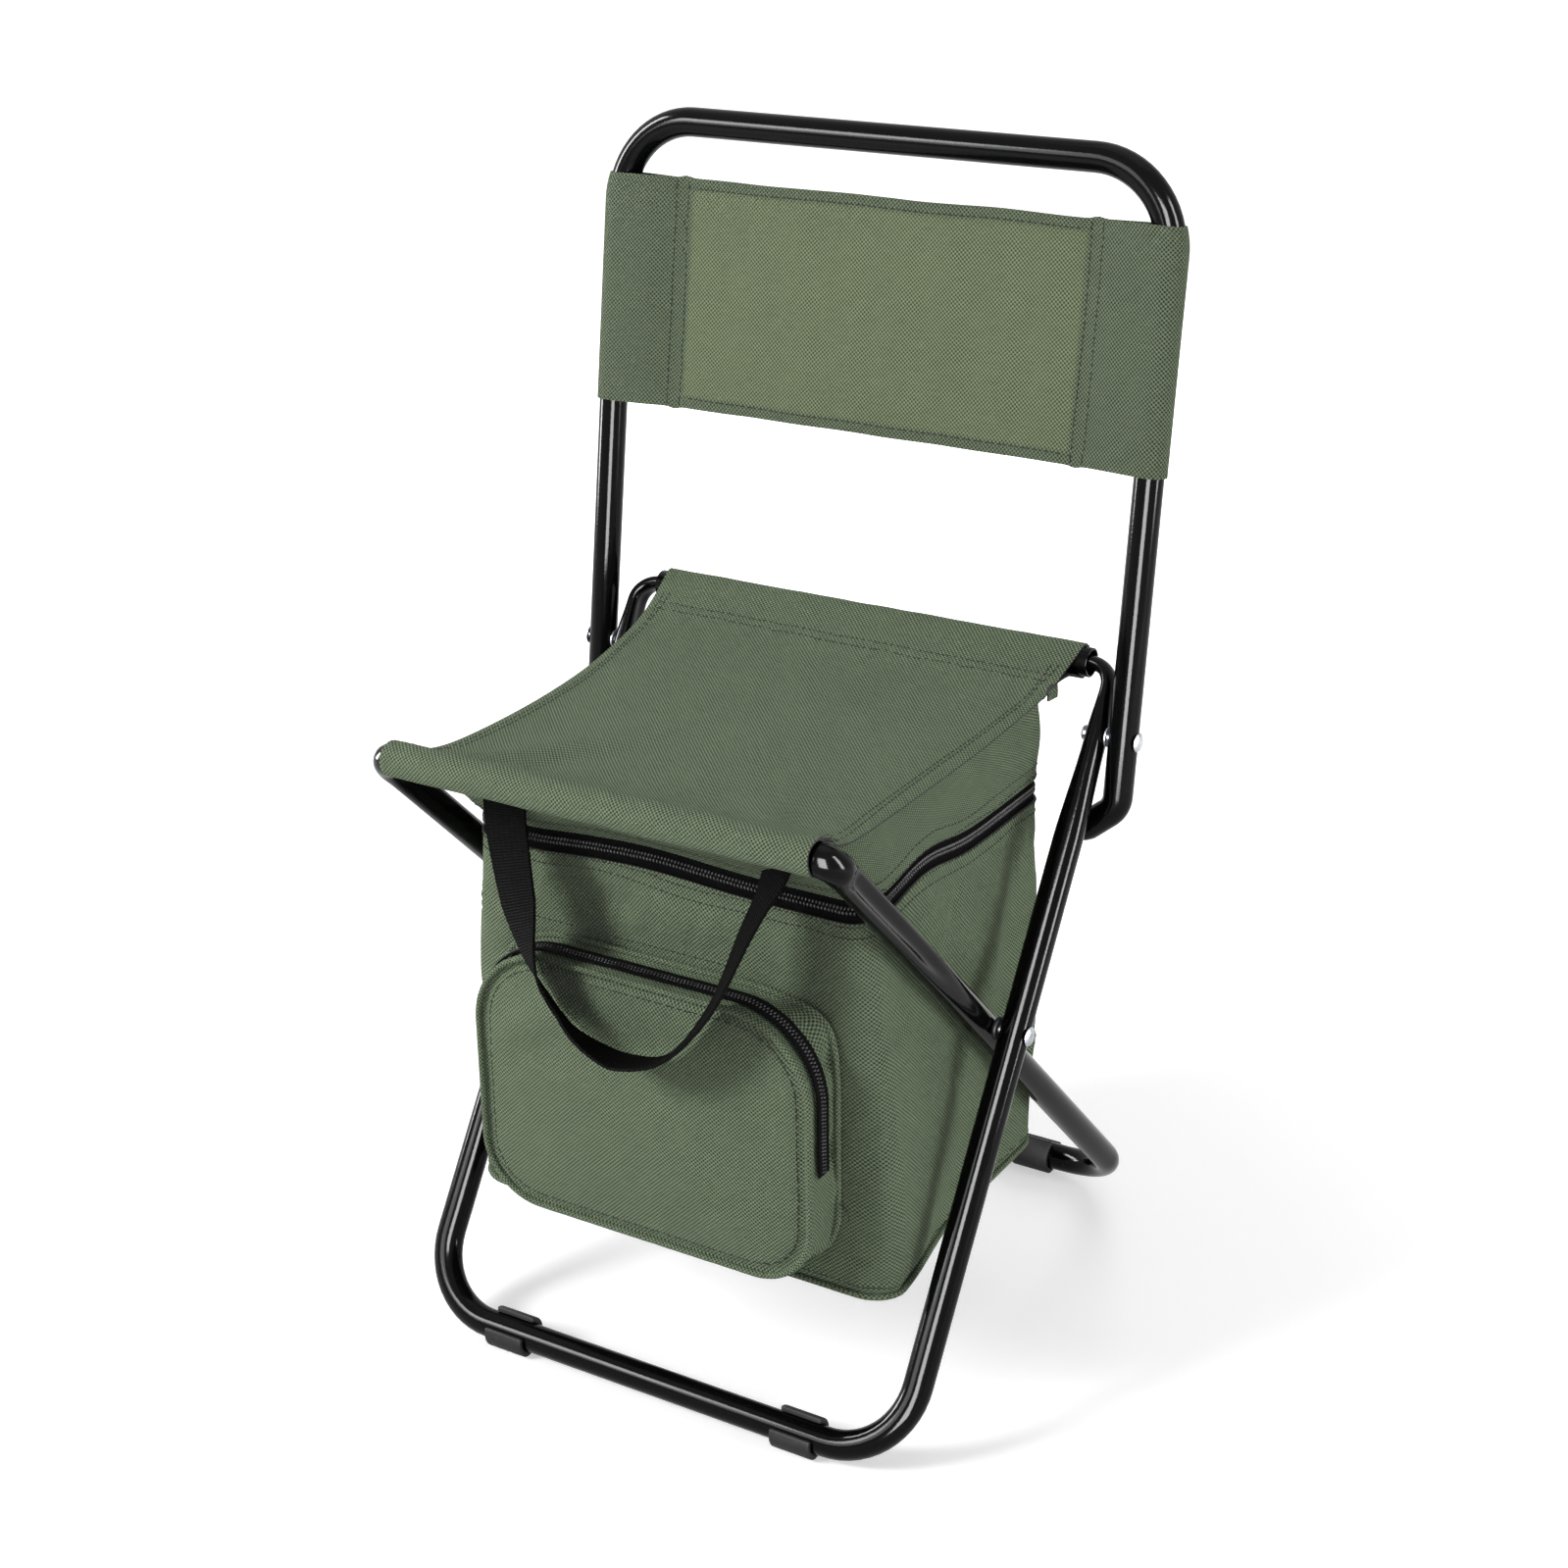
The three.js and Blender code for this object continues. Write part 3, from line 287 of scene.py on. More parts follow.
for name, node, body, place, half_width in [
    ("back_rail", "rear_seat_rail", "front_frame", rear_rail, front_half_width),
    ("fore_rail", "front_seat_rail", "rear_frame", front_rail, rear_half_width),
]:
    rail_bm = bmesh.new()
    bmesh.ops.create_cone(rail_bm, cap_ends=False, segments=40, radius1=tube_radius, radius2=tube_radius,
                          depth=2 * (half_width - neck_bend - play),
                          matrix=Matrix.Translation(place) @ Matrix.Rotation(math.pi / 2, 4, "Y"))
    bmesh.ops.recalc_face_normals(rail_bm, faces=rail_bm.faces)
    bmesh.ops.solidify(rail_bm, geom=rail_bm.faces[:], thickness=rail_wall)
    round_edges(rail_bm, offset=0.35 * mm, segments=2)
    fit(make_piece(rail_bm, name, paint), body, node)

# Backrest frame. The tube again, as an upside-down U riveted outside the front legs. Each lower end hooks in
# behind its leg, is pressed a little and sawn off open, and stops the backrest there.
back_half_width = 165.5 * mm
back_bend = 45 * mm
back_lean = math.radians(8.3)
pivot_below_top = 37.4 * mm
upright_top = 250.5 * mm
hook_tip = -55 * mm
hook_length, hook_bend, hook_angle = 22 * mm, 13 * mm, 50
mouth_share, mouth_depth = 0.84, 12 * mm


def on_front_leg(share):
    """A point on the middle line of the front legs, at a share of the way up."""
    return Vector((0, front_bar_y + front_leg_run * share, bar_height + front_leg_rise * share))


backrest_pivot = on_front_leg(1 - pivot_below_top / math.hypot(front_leg_run, front_leg_rise))
backrest_place = Matrix.Translation(backrest_pivot) @ Matrix.Rotation(-back_lean, 4, "X")
hook_heading = math.radians(90 - hook_angle)
hook_inset = hook_length * math.cos(hook_heading) + hook_bend * (1 - math.sin(hook_heading))
upright_foot = hook_tip + hook_length * math.sin(hook_heading) + hook_bend * math.cos(hook_heading)
upright = [(hook_length, 0, 6), (hook_bend, hook_angle, 8), (upright_top - upright_foot, 0, 2),
           (back_bend, 90, 16)]
top_bar = (2 * (back_half_width - back_bend), 0, 2)
back_bm, back_rings = bend_tube((back_half_width - hook_inset, hook_tip), hook_heading,
                                [*upright, top_bar, *upright[::-1]])
press_tube(back_rings, [(0, 10 * mm, tube_width, 0), (6 * mm, tube_width, tube_width, 0)], 1)
for (ring, centre, side, _), inward in ((back_rings[0], 1), (back_rings[-1], -1)):
    mouth = draw_ring(back_bm, ring)
    for vert in mouth:
        vert.co = centre + (vert.co - centre) * mouth_share
    mouth_floor = draw_ring(back_bm, mouth, Vector((side.z, 0, -side.x)) * inward * mouth_depth)
    bmesh.ops.contextual_create(back_bm, geom=ring_edges(mouth_floor))
bmesh.ops.recalc_face_normals(back_bm, faces=back_bm.faces)
bmesh.ops.transform(back_bm, matrix=backrest_place, verts=back_bm.verts)
fit(make_piece(back_bm, "back_frame", paint), "backrest", "backrest_tube")

# Rivets. Zinc-plated steel with a domed head outside and a spread tail inside. One pair holds the crossing of
# the legs and one pair carries the backrest. The heads are worn bright and a little scratched.
crossing_share = (rear_bar_y - front_bar_y) / (front_leg_run - rear_leg_run * front_leg_rise / rear_leg_rise)
crossing = on_front_leg(crossing_share)
head_radius, head_dome = 5.25 * mm, 2 * mm
shank_radius = 2.5 * mm
tail_radius, tail_thick = 4 * mm, 1.2 * mm


def worn_zinc():
    material, tree, bsdf = shader("worn_zinc")
    where = on_piece(tree)
    brushed = wire(tree, "ShaderNodeMapping", {"Vector": where, "Scale": (400, 2600, 2600)}).outputs[0]
    scratches = specks(tree, brushed, scale=1, detail=4, roughness=0.65)
    bloom = specks(tree, where, scale=260, detail=6, roughness=0.6)
    bright = spread(tree, bloom, (0.35, 0.7), (0, 1))
    colour = blend_colours(tree, bright, (0.25, 0.26, 0.28), (0.46, 0.47, 0.5))
    finish(bsdf, colour, spread(tree, scratches, (0.3, 0.7), (0.24, 0.46)),
           relief=(scratches, 0.15, 0.1 * mm), levels={"Metallic": 1})
    return material


def turn_pair(name, node, profile, place, face, material):
    """Turns a profile of (radius, distance inwards) points on the right side, at face, and on the left."""
    for side, turn in (("right", 0), ("left", math.pi)):
        bm = bmesh.new()
        points = [bm.verts.new((-depth, 0, radius)) for radius, depth in profile]
        edges = [bm.edges.new(pair) for pair in zip(points, points[1:])]
        bmesh.ops.spin(bm, geom=points + edges, cent=(0, 0, 0), axis=(1, 0, 0), angle=2 * math.pi, steps=32,
                       use_merge=True)
        bmesh.ops.remove_doubles(bm, verts=bm.verts, dist=1e-6)
        bmesh.ops.recalc_face_normals(bm, faces=bm.faces)
        where = Matrix.Translation(place) @ Matrix.Rotation(turn, 4, "Z") @ Matrix.Translation((face, 0, 0))
        bmesh.ops.transform(bm, matrix=where, verts=bm.verts)
        fit(make_piece(bm, f"{name}_{side}", material, sharp=50), "front_frame", f"{node}_{side}")


def ways(degrees):
    """The cosine and sine of each angle in a row."""
    return [(math.cos(angle), math.sin(angle)) for angle in map(math.radians, degrees)]


zinc = worn_zinc()
rivet_head = [(head_radius * sine, -head_dome * cosine)
              for cosine, sine in ways((24, 36, 48, 60, 72, 82, 90))]
for name, node, place, half_width, grip in [
    ("leg_rivet", "crossing_rivet", crossing, front_half_width, 35.6 * mm),
    ("back_rivet", "backrest_rivet", backrest_pivot, back_half_width, 30.1 * mm),
]:
    profile = [
        (0, -1.72 * mm), (1.5 * mm, -1.74 * mm), *rivet_head, (5.1 * mm, 0.02 * mm),
        (shank_radius, 0.02 * mm), (shank_radius, grip), (tail_radius, grip), (tail_radius, grip + 0.7 * mm),
        (3.5 * mm, grip + 1.15 * mm), (1.6 * mm, grip + tail_thick), (1.3 * mm, grip + 0.7 * mm),
        (0, grip + 0.6 * mm)]
    turn_pair(name, node, profile, place, half_width + tube_radius + play, zinc)

# Washers. A turned nylon spacer keeps the two legs apart at the crossing, and a thin zinc washer lies between
# each front leg and the backrest.
washer_bore = 2.8 * mm


def matte_black(name, colour, roughness, grain):
    material, tree, bsdf = shader(name)
    where = on_piece(tree)
    scuffs = specks(tree, where, scale=140, detail=7, roughness=0.65)
    skin = specks(tree, where, scale=grain)
    pale = [3 * part for part in colour]
    shade = blend_colours(tree, spread(tree, scuffs, (0.52, 0.8), (0, 1)), colour, pale)
    finish(bsdf, shade, spread(tree, scuffs, (0.3, 0.7), (roughness - 0.1, roughness + 0.1)),
           relief=(skin, 0.3, 0.2 * mm), levels={"Specular IOR Level": 0.15})
    return material


nylon = matte_black("black_nylon", (0.012, 0.012, 0.012), 0.5, 1500)
for name, node, material, slot, place, half_width, radius, thick in [
    ("leg_spacer", "crossing_spacer", nylon, "black_nylon", crossing, front_half_width, 6.5 * mm, 2.4 * mm),
    ("back_washer", "backrest_washer", zinc, "zinc", backrest_pivot, back_half_width, 5.5 * mm, 0.9 * mm),
]:
    rounding = 0.2 * thick
    profile = [(washer_bore, 0), (radius - rounding, 0), (radius, rounding), (radius, thick - rounding),
               (radius - rounding, thick), (washer_bore, thick), (washer_bore, 0)]
    turn_pair(name, node, profile, place, half_width - tube_radius - play, material)

# Feet. Four moulded rubber clips snapped over the floor bars beside the bends. Each is open on top, leaning
# outwards, and is worn flat where it stands.
rubber = matte_black("black_rubber", (0.007, 0.007, 0.0073), 0.62, 1100)
foot_half_length = 12 * mm
foot_inner, foot_outer = 8.3 * mm, 11.3 * mm
foot_from_bend = 16 * mm
foot_opening = math.radians(78)
foot_lean = math.radians(28)
for end, body, bar_y, half_width, lean in [
    ("front", "front_frame", front_bar_y, front_half_width, foot_lean),
    ("rear", "rear_frame", rear_bar_y, rear_half_width, -foot_lean),
]:
    for side, sign in (("left", -1), ("right", 1)):
        foot_bm = bmesh.new()
        middle = sign * (half_width - floor_bend - foot_from_bend)
        corners = [(-foot_half_length, foot_inner), (foot_half_length, foot_inner),
                   (foot_half_length, foot_outer), (-foot_half_length, foot_outer)]
        points = [foot_bm.verts.new((middle + x, 0, radius)) for x, radius in corners]
        edges = [foot_bm.edges.new(pair) for pair in zip(points, points[1:] + points[:1])]
        bmesh.ops.transform(foot_bm, matrix=Matrix.Rotation(lean + foot_opening / 2, 4, "X"), verts=points)
        spun = bmesh.ops.spin(foot_bm, geom=points + edges, cent=(0, 0, 0), axis=(1, 0, 0),
                              angle=2 * math.pi - foot_opening, steps=36)
        bmesh.ops.contextual_create(foot_bm, geom=edges)
        bmesh.ops.contextual_create(foot_bm, geom=ring_edges(verts_of(spun["geom_last"])))
        bmesh.ops.translate(foot_bm, verts=foot_bm.verts, vec=(0, bar_y, bar_height))
        for vert in foot_bm.verts:
            vert.co.z = max(vert.co.z, 0)
        bmesh.ops.recalc_face_normals(foot_bm, faces=foot_bm.faces)
        round_edges(foot_bm, offset=0.7 * mm, segments=3)
        foot = make_piece(foot_bm, f"rubber_foot_{end}_{side}", rubber)
        fit(foot, body, f"foot_{end}_{side}")

# Seat sling. A canvas sheet with a sleeve sewn round each rail: tight behind the front rail, and 36 mm ahead
# of the rear one. It sags between them, draws in at its hemmed sides and is coated black underneath.
canvas_wall = 1.1 * mm
weave_pitch = 1.15 * mm
sleeve_radius = 9.4 * mm
seat_rows = 150
seat_width = 256 * mm
seat_depth = rear_rail.y - front_rail.y
seat_front_half, seat_rear_half, seat_draw = 124 * mm, 132 * mm, 7 * mm
seat_hem = 11 * mm
seat_sag = [(0, 367.9), (0.06, 359), (0.12, 353.6), (0.2, 351.2), (0.35, 350.4), (0.5, 351.2), (0.65, 353.6),
            (0.8, 358.6), (0.87, 362.8), (0.94, 370.5), (1, 378.4)]


def even_path(points, count):
    """A smooth curve through the points, cut into steps of equal length. Also gives its whole length."""
    ends = [2 * points[0] - points[1], *points, 2 * points[-1] - points[-2]]
    fine = 16
    dense = []
    for a, b, c, d in zip(ends, ends[1:], ends[2:], ends[3:]):
        for step in range(fine):
            t = step / fine
            dense.append(0.5 * (2 * b + (c - a) * t + (2 * a - 5 * b + 4 * c - d) * t ** 2
                                + (3 * b - a - 3 * c + d) * t ** 3))
    dense.append(points[-1])
    marks = [0]
    for a, b in zip(dense, dense[1:]):
        marks.append(marks[-1] + (b - a).length)
    path = []
    spot = 0
    for step in range(count + 1):
        goal = marks[-1] * step / count
        while spot < len(dense) - 2 and marks[spot + 1] < goal:
            spot += 1
        share = (goal - marks[spot]) / (marks[spot + 1] - marks[spot])
        path.append(dense[spot].lerp(dense[spot + 1], min(share, 1)))
    return path, marks[-1]


def lay_sheet(columns, rows, place, flat, closed=False):
    """Lays a grid of cloth where place(u, v) says, and keeps where each point lay on the flat cloth."""
    bm = bmesh.new()
    lie = bm.verts.layers.float_vector.new("flat")
    for vert in bmesh.ops.create_grid(bm, x_segments=columns, y_segments=rows, size=0.5)["verts"]:
        u, v = vert.co.x + 0.5, vert.co.y + 0.5
        vert[lie] = (u * flat[0], v * flat[1], 0)
        vert.co = place(u, v)
    if closed:
        bmesh.ops.remove_doubles(bm, verts=bm.verts, dist=1e-6)
    return bm


def thicken(bm, wall, inside=0):
    """Gives a sheet its thickness, away from its normals. The new side may have its own material."""
    bm.normal_update()
    drawn = bm.faces[:]
    bmesh.ops.solidify(bm, geom=drawn, thickness=wall)
    outside = set(drawn)
    for face in bm.faces:
        face.material_index = 0 if face in outside else inside


def lay_weave(bm, girth=0, length=0):
    """Puts the flat cloth's own metres in the UV map. A closed piece gives its girth or its length."""
    lie = bm.verts.layers.float_vector["flat"]
    layer = bm.loops.layers.uv.new("weave")
    for face in bm.faces:
        spots = [loop.vert[lie].copy() for loop in face.loops]
        furthest = [max(spot[axis] for spot in spots) for axis in (0, 1)]
        for loop, spot in zip(face.loops, spots):
            for axis, whole in ((0, girth), (1, length)):
                if whole and furthest[axis] - spot[axis] > whole / 2:
                    spot[axis] += whole
            loop[layer].uv = spot.xy


def make_cloth(bm, name, *materials, wall=canvas_wall, girth=0, sharp=70):
    """Makes a piece of a drawn sheet, with thickness and weave. A second material is its inner side."""
    thicken(bm, wall, len(materials) - 1)
    lay_weave(bm, girth)
    return make_piece(bm, name, *materials, sharp=sharp)


def reckon(tree, operation, *values):
    return wire(tree, "ShaderNodeMath", dict(enumerate(values)), operation=operation).outputs[0]


def thread_waves(tree, flat, pitches):
    """A sine wave along each axis of the flat cloth, each of its own length."""
    axes = wire(tree, "ShaderNodeSeparateXYZ", {0: flat}).outputs
    return [reckon(tree, "SINE", reckon(tree, "MULTIPLY", axes[axis], 2 * math.pi / pitch))
            for axis, pitch in enumerate(pitches)]


def woven_canvas(name, shade, light, single=None):
    """Plain-woven canvas: threads over and under, uneven yarn, faded patches and a soft sheen. Its colour is
    painted dark in the low places of the weave and pale on the high threads, as painted shade between the
    threads. Where it is a single layer, by its "layers" attribute, it takes the two colours of single."""
    material, tree, bsdf = shader(name)
    flat = wire(tree, "ShaderNodeUVMap", {}, uv_map="weave").outputs[0]
    yarn = wire(tree, "ShaderNodeMapping", {"Vector": flat, "Scale": (90, 1400, 1)}).outputs[0]
    over = reckon(tree, "MULTIPLY", *thread_waves(tree, flat, (2 * weave_pitch, 2 * weave_pitch)))
    slubs = specks(tree, yarn, scale=1, detail=2)
    height = reckon(tree, "MULTIPLY_ADD", slubs, 0.5, over)
    worn = specks(tree, flat, scale=26, detail=6, roughness=0.6)
    # Painted shade: the colour goes dark where the weave is low, between the threads, and pale where it is
    # high.
    share = reckon(tree, "MULTIPLY_ADD", worn, 0.24, spread(tree, height, (-1, 1.5), (-0.55, 1.45)))
    colour = blend_colours(tree, share, shade, light)
    if single:
        layers = wire(tree, "ShaderNodeAttribute", {}, attribute_name="layers").outputs["Fac"]
        colour = blend_colours(tree, layers, blend_colours(tree, share, *single), colour)
    finish(bsdf, colour, spread(tree, worn, (0.3, 0.7), (0.74, 0.9)), relief=(height, 0.6, 0.5 * mm),
           levels={"Sheen Weight": 0.03, "Sheen Roughness": 0.5, "Specular IOR Level": 0.03})
    return material


def ripple(x, y, z):
    return noise.noise(Vector((x, y, z)))


def bell(distance, width):
    return math.exp(-(distance / width) ** 2)


def clamp(share):
    return min(max(share, 0), 1)


def seat_share(y):
    return (y - front_rail.y) / seat_depth


def seat_height(share):
    """Height of the slack seat at a share of the way from the front rail to the rear one."""
    for (low, start), (high, end) in zip(seat_sag, seat_sag[1:]):
        if share <= high:
            break
    return (start + (end - start) * (share - low) / (high - low)) * mm


def seat_half_width(y):
    share = clamp(seat_share(y))
    return seat_front_half + (seat_rear_half - seat_front_half) * share - 4 * seat_draw * share * (1 - share)


def seat_waves(x, y):
    """How far the seat stands off its middle line: drooping sides, hems, puckered seams and the folds from
    its front corners."""
    half = seat_half_width(y)
    share = seat_share(y)
    edge = half - abs(x)
    crown = 2.6 * mm * math.cos(math.pi * x / (2 * half)) + 1.1 * mm * ripple(x * 22, y * 9, 3)
    hem = 0.6 * mm * clamp((seat_hem - edge) / mm) - 1.4 * mm * math.exp(-edge / (3.5 * mm))
    puckers = 0.8 * mm * ripple(x * 140, y * 30, 9) * bell(share - 0.085, 0.05)
    puckers += 0.7 * mm * ripple(x * 120, y * 24, 5) * bell(share - 0.86, 0.045)
    fold = -half + 20 * mm + 130 * mm * share
    folds = 3 * mm * bell(x - fold, 7 * mm + 30 * mm * share) * bell(share - 0.16, 0.17)
    folds -= 1.6 * mm * bell(x - fold - 26 * mm, 14 * mm) * bell(share - 0.16, 0.15)
    folds += 1.8 * mm * bell(x + fold * 0.9, 9 * mm + 26 * mm * share) * bell(share - 0.13, 0.12)
    return (crown + hem) * math.sin(math.pi * clamp(share)) + puckers + folds


green = woven_canvas("green_canvas", (0.02, 0.029, 0.016), (0.215, 0.275, 0.172))
black_coating = matte_black("black_coating", (0.013, 0.013, 0.013), 0.7, 900)
seat_line = [
    *[front_rail.yz + Vector(step) * mm for step in ((21, -3.6), (13, -4.8), (7, -7.4))],
    *[front_rail.yz + sleeve_radius * Vector(way) for way in ways(range(-85, -311, -25))],
    *[Vector((front_rail.y + seat_depth * share, height * mm)) for share, height in seat_sag[1:-1]],
    *[rear_rail.yz + sleeve_radius * Vector(way) for way in ways(range(95, -106, -25))],
    *[rear_rail.yz + Vector(step) * mm for step in ((-13, -4.4), (-26, -5), (-39, -9.6))],
]
seat_path, seat_length = even_path(seat_line, seat_rows)


def seat_point(u, v):
    y, z = seat_path[round(v * seat_rows)]
    x = (2 * u - 1) * seat_half_width(y)
    share = seat_share(y)
    if 0.04 < share < 0.98 and z > seat_height(share) - 1 * mm:
        z += seat_waves(x, y) * min((share - 0.04) / 0.04, 1)
    else:
        x += 0.6 * mm * ripple(y * 90, z * 90, 2)
        z += 0.35 * mm * ripple(x * 60, y * 60, z * 60)
    return Vector((x, y, z))


seat_bm = lay_sheet(96, seat_rows, seat_point, (seat_width, seat_length))
seat = make_cloth(seat_bm, "seat_sling", green, black_coating)
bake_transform(seat)
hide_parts("seat_panel")

# Backrest band. A canvas strip whose two ends are turned round the uprights and sewn down with two rows of
# stitches. The single layer in the middle lets light through, so it looks paler than the sides and hems.
band_low, band_high = 139.5 * mm, 265.5 * mm
band_height = band_high - band_low
band_columns = 200
band_seam = 124 * mm
band_hem_depth = 7 * mm
band_canvas = woven_canvas("band_canvas", (0.018, 0.025, 0.0145), (0.19, 0.236, 0.152),
                           single=((0.04, 0.052, 0.025), (0.248, 0.3, 0.176)))
left_sleeve = [
    *[Vector(spot) * mm for spot in ((-117, 1.7), (-126, 1.9), (-146, 6.2))],
    *[Vector((-back_half_width + sleeve_radius * x, sleeve_radius * y)) for x, y in ways(range(80, 281, 25))],
    *[Vector(spot) * mm for spot in ((-146, -6.2), (-126, -0.7), (-117, 0), (-85, 0.4))],
]
right_sleeve = [Vector((-spot.x, spot.y)) for spot in reversed(left_sleeve)]
band_path, band_length = even_path([*left_sleeve, Vector((0, 0.8 * mm)), *right_sleeve], band_columns)


def band_point(u, v):
    x, y = band_path[round(u * band_columns)]
    z = band_low + v * band_height
    past_bend = max(z - upright_top, 0)
    shift = back_bend - math.sqrt(back_bend ** 2 - past_bend ** 2)
    sleeve = clamp((abs(x) - 132 * mm) / (22 * mm))
    hem = clamp((band_hem_depth - min(z - band_low, band_high - z)) / mm)
    off_seam = abs(x) - band_seam
    waves = 1.4 * mm * ripple(x * 13, z * 9, 4) + 0.5 * mm * ripple(x * 60, z * 16, 8) - 0.5 * mm * hem
    y += (1 - sleeve) * waves + 0.45 * mm * ripple(x * 20, z * 120, 6) * bell(off_seam, 9 * mm)
    z += 0.7 * mm * ripple(x * 22, v * 4, 1) + 1.1 * mm * (2 * v - 1) * bell(off_seam, 3 * mm)
    return Vector((x - math.copysign(shift, x) * sleeve, y, z))


band_bm = lay_sheet(band_columns, 46, band_point, (band_length, band_height))
thicken(band_bm, canvas_wall)
lay_weave(band_bm)
layers = band_bm.verts.layers.float.new("layers")
for vert in band_bm.verts:
    edge = min(vert.co.z - band_low, band_high - vert.co.z)
    vert[layers] = max(clamp((abs(vert.co.x) - 118.5 * mm) / (1.5 * mm)), clamp((8 * mm - edge) / mm))
bmesh.ops.transform(band_bm, matrix=backrest_place, verts=band_bm.verts)
band = make_piece(band_bm, "back_band", band_canvas, sharp=70)
fit(band, "backrest", "backrest_panel")

# Stitching of the seat and backrest. Rows of thick polyester thread, a shade darker than the canvas, along
# the sleeves and the hems. Each stitch is a short float of thread pulled into the cloth at both ends.
stitch_pitch = 3.5 * mm
stitch_half_width, stitch_half_height = 0.42 * mm, 0.34 * mm
above_front_seam, above_seat = 380 * mm, 390 * mm


def sewing_thread():
    material, tree, bsdf = shader("sewing_thread")
    twist = specks(tree, on_piece(tree), scale=1800, detail=2)
    colour = blend_colours(tree, twist, (0.005, 0.007, 0.004), (0.022, 0.028, 0.018))
    finish(bsdf, colour, spread(tree, twist, (0.3, 0.7), (0.5, 0.7)), levels={"Specular IOR Level": 0.1})
    return material


thread = sewing_thread()


def set_bead(bm, spot, axes, half_sizes):
    """Adds a small rounded bead, with half its size along each of three axes."""
    place = Matrix(axes).transposed().to_4x4()
    place.translation = spot
    bmesh.ops.create_icosphere(bm, subdivisions=1, radius=1, matrix=place @ Matrix.Diagonal((*half_sizes, 1)))


def sew(name, cloth, lines, pitch=stitch_pitch):
    """Lays stitches along each line of points, on the nearest surface of the cloth."""
    mesh = cloth.data
    surface = BVHTree.FromPolygons([vert.co for vert in mesh.vertices],
                                   [face.vertices for face in mesh.polygons])
    bm = bmesh.new()
    for line in lines:
        length = sum((b - a).length for a, b in zip(line, line[1:]))
        path, _ = even_path(line, max(2, round(length / pitch)))
        for a, b in zip(path, path[1:]):
            spot, normal, _, _ = surface.find_nearest((a + b) / 2)
            across = normal.cross(b - a).normalized()
            set_bead(bm, spot + normal * 0.05 * mm, (across.cross(normal), across, normal),
                     (0.44 * (b - a).length, stitch_half_width, stitch_half_height))
    return make_piece(bm, name, thread, sharp=180)


def seat_row(y, above):
    half = seat_half_width(y) - 3 * mm
    return [Vector((half * step / 6, y, above)) for step in range(-6, 7)]


def seat_side(sign, inset):
    spots = [front_rail.y + (22 + step * 11.6) * mm for step in range(20)]
    return [Vector((sign * (seat_half_width(y) - inset), y, above_seat)) for y in spots]


seat_seams = sew("seat_stitches", seat, [
    seat_row(front_rail.y + 18 * mm, above_front_seam),
    *[seat_row(rear_rail.y - back, above_seat) for back in (33 * mm, 38 * mm)],
    *[seat_side(sign, inset) for sign in (-1, 1) for inset in (3.5 * mm, 8.5 * mm)],
])
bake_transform(seat_seams)


def band_row(x):
    heights = [band_low + 1 * mm + (band_height - 2 * mm) * step / 5 for step in range(6)]
    return [backrest_place @ Vector((x, -9 * mm, z)) for z in heights]


def band_hem(z):
    return [backrest_place @ Vector((step * 16.5 * mm, -8 * mm, z)) for step in range(-7, 8)]


band_seams = sew("band_stitches", band, [
    *[band_row(sign * x) for sign in (-1, 1) for x in (band_seam - 2.5 * mm, band_seam + 2.5 * mm)],
    band_hem(band_low + 6.5 * mm), band_hem(band_high - 6.5 * mm),
])
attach(band_seams, "backrest")

# Bag skirt. The upper band of the cooler bag, one strip of canvas sewn under the seat all round. Its front
# slopes from behind the front sleeve down to the zip. As the stool folds, the bag goes flat against its back.
bag_half = 120 * mm
bag_front, bag_rear = -119.4 * mm, 73.6 * mm
bag_corner = 16 * mm
zip_low, zip_middle, zip_high = 296.5 * mm, 304 * mm, 311.5 * mm
zip_gap = 6.4 * mm
zip_front_rise, zip_side_rise = 3.5 * mm, 7 * mm
skirt_low = zip_middle + zip_gap
skirt_top_front, skirt_top_depth = -162.6 * mm, 228 * mm
skirt_wall_room = 2.5 * mm
sleeve_back, sleeve_drop, sleeve_slope = 10.7 * mm, 7 * mm, 0.7
floor_spread = 11 * mm


def hang_in_bag(piece, body, slot, *nodes, clear=0):
    """Fixes a piece of the bag to its body, gives it its own mesh, and lets it stand for its solids."""
    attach(piece, body)
    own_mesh(piece)
    if nodes:
        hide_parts(*nodes)


def outline(start, heading, moves):
    """A path of straights (length, 0) and bends (radius, degrees). Gives a walk along it and its length."""
    runs = []
    at = Vector(start)
    for size, degrees in moves:
        turn = math.radians(degrees)
        length = size * abs(turn) if degrees else size
        centre = at + Vector((-math.sin(heading), math.cos(heading))) * math.copysign(size, turn)
        runs.append((at, centre, heading, turn, length))
        if degrees:
            heading += turn
            at = centre + Vector((math.sin(heading), -math.cos(heading))) * math.copysign(size, turn)
        else:
            at = at + Vector((math.cos(heading), math.sin(heading))) * size

    def walk(distance):
        for at, centre, heading, turn, length in runs:
            if distance <= length + 1e-9:
                break
            distance -= length
        if turn:
            heading += turn * distance / length
            right = Vector((math.sin(heading), -math.cos(heading)))
            return centre + right * (at - centre).length * math.copysign(1, turn), right
        ahead = Vector((math.cos(heading), math.sin(heading)))
        return at + ahead * distance, Vector((ahead.y, -ahead.x))

    return walk, sum(run[4] for run in runs)


def bag_outline(inset=0):
    half, corner = bag_half - inset, bag_corner - inset
    depth = bag_rear - bag_front - 2 * inset - 2 * corner
    across = half - corner
    return outline((0, bag_rear - inset), math.pi, [
        (across, 0), (corner, 90), (depth, 0), (corner, 90), (2 * across, 0), (corner, 90), (depth, 0),
        (corner, 90), (across, 0)])


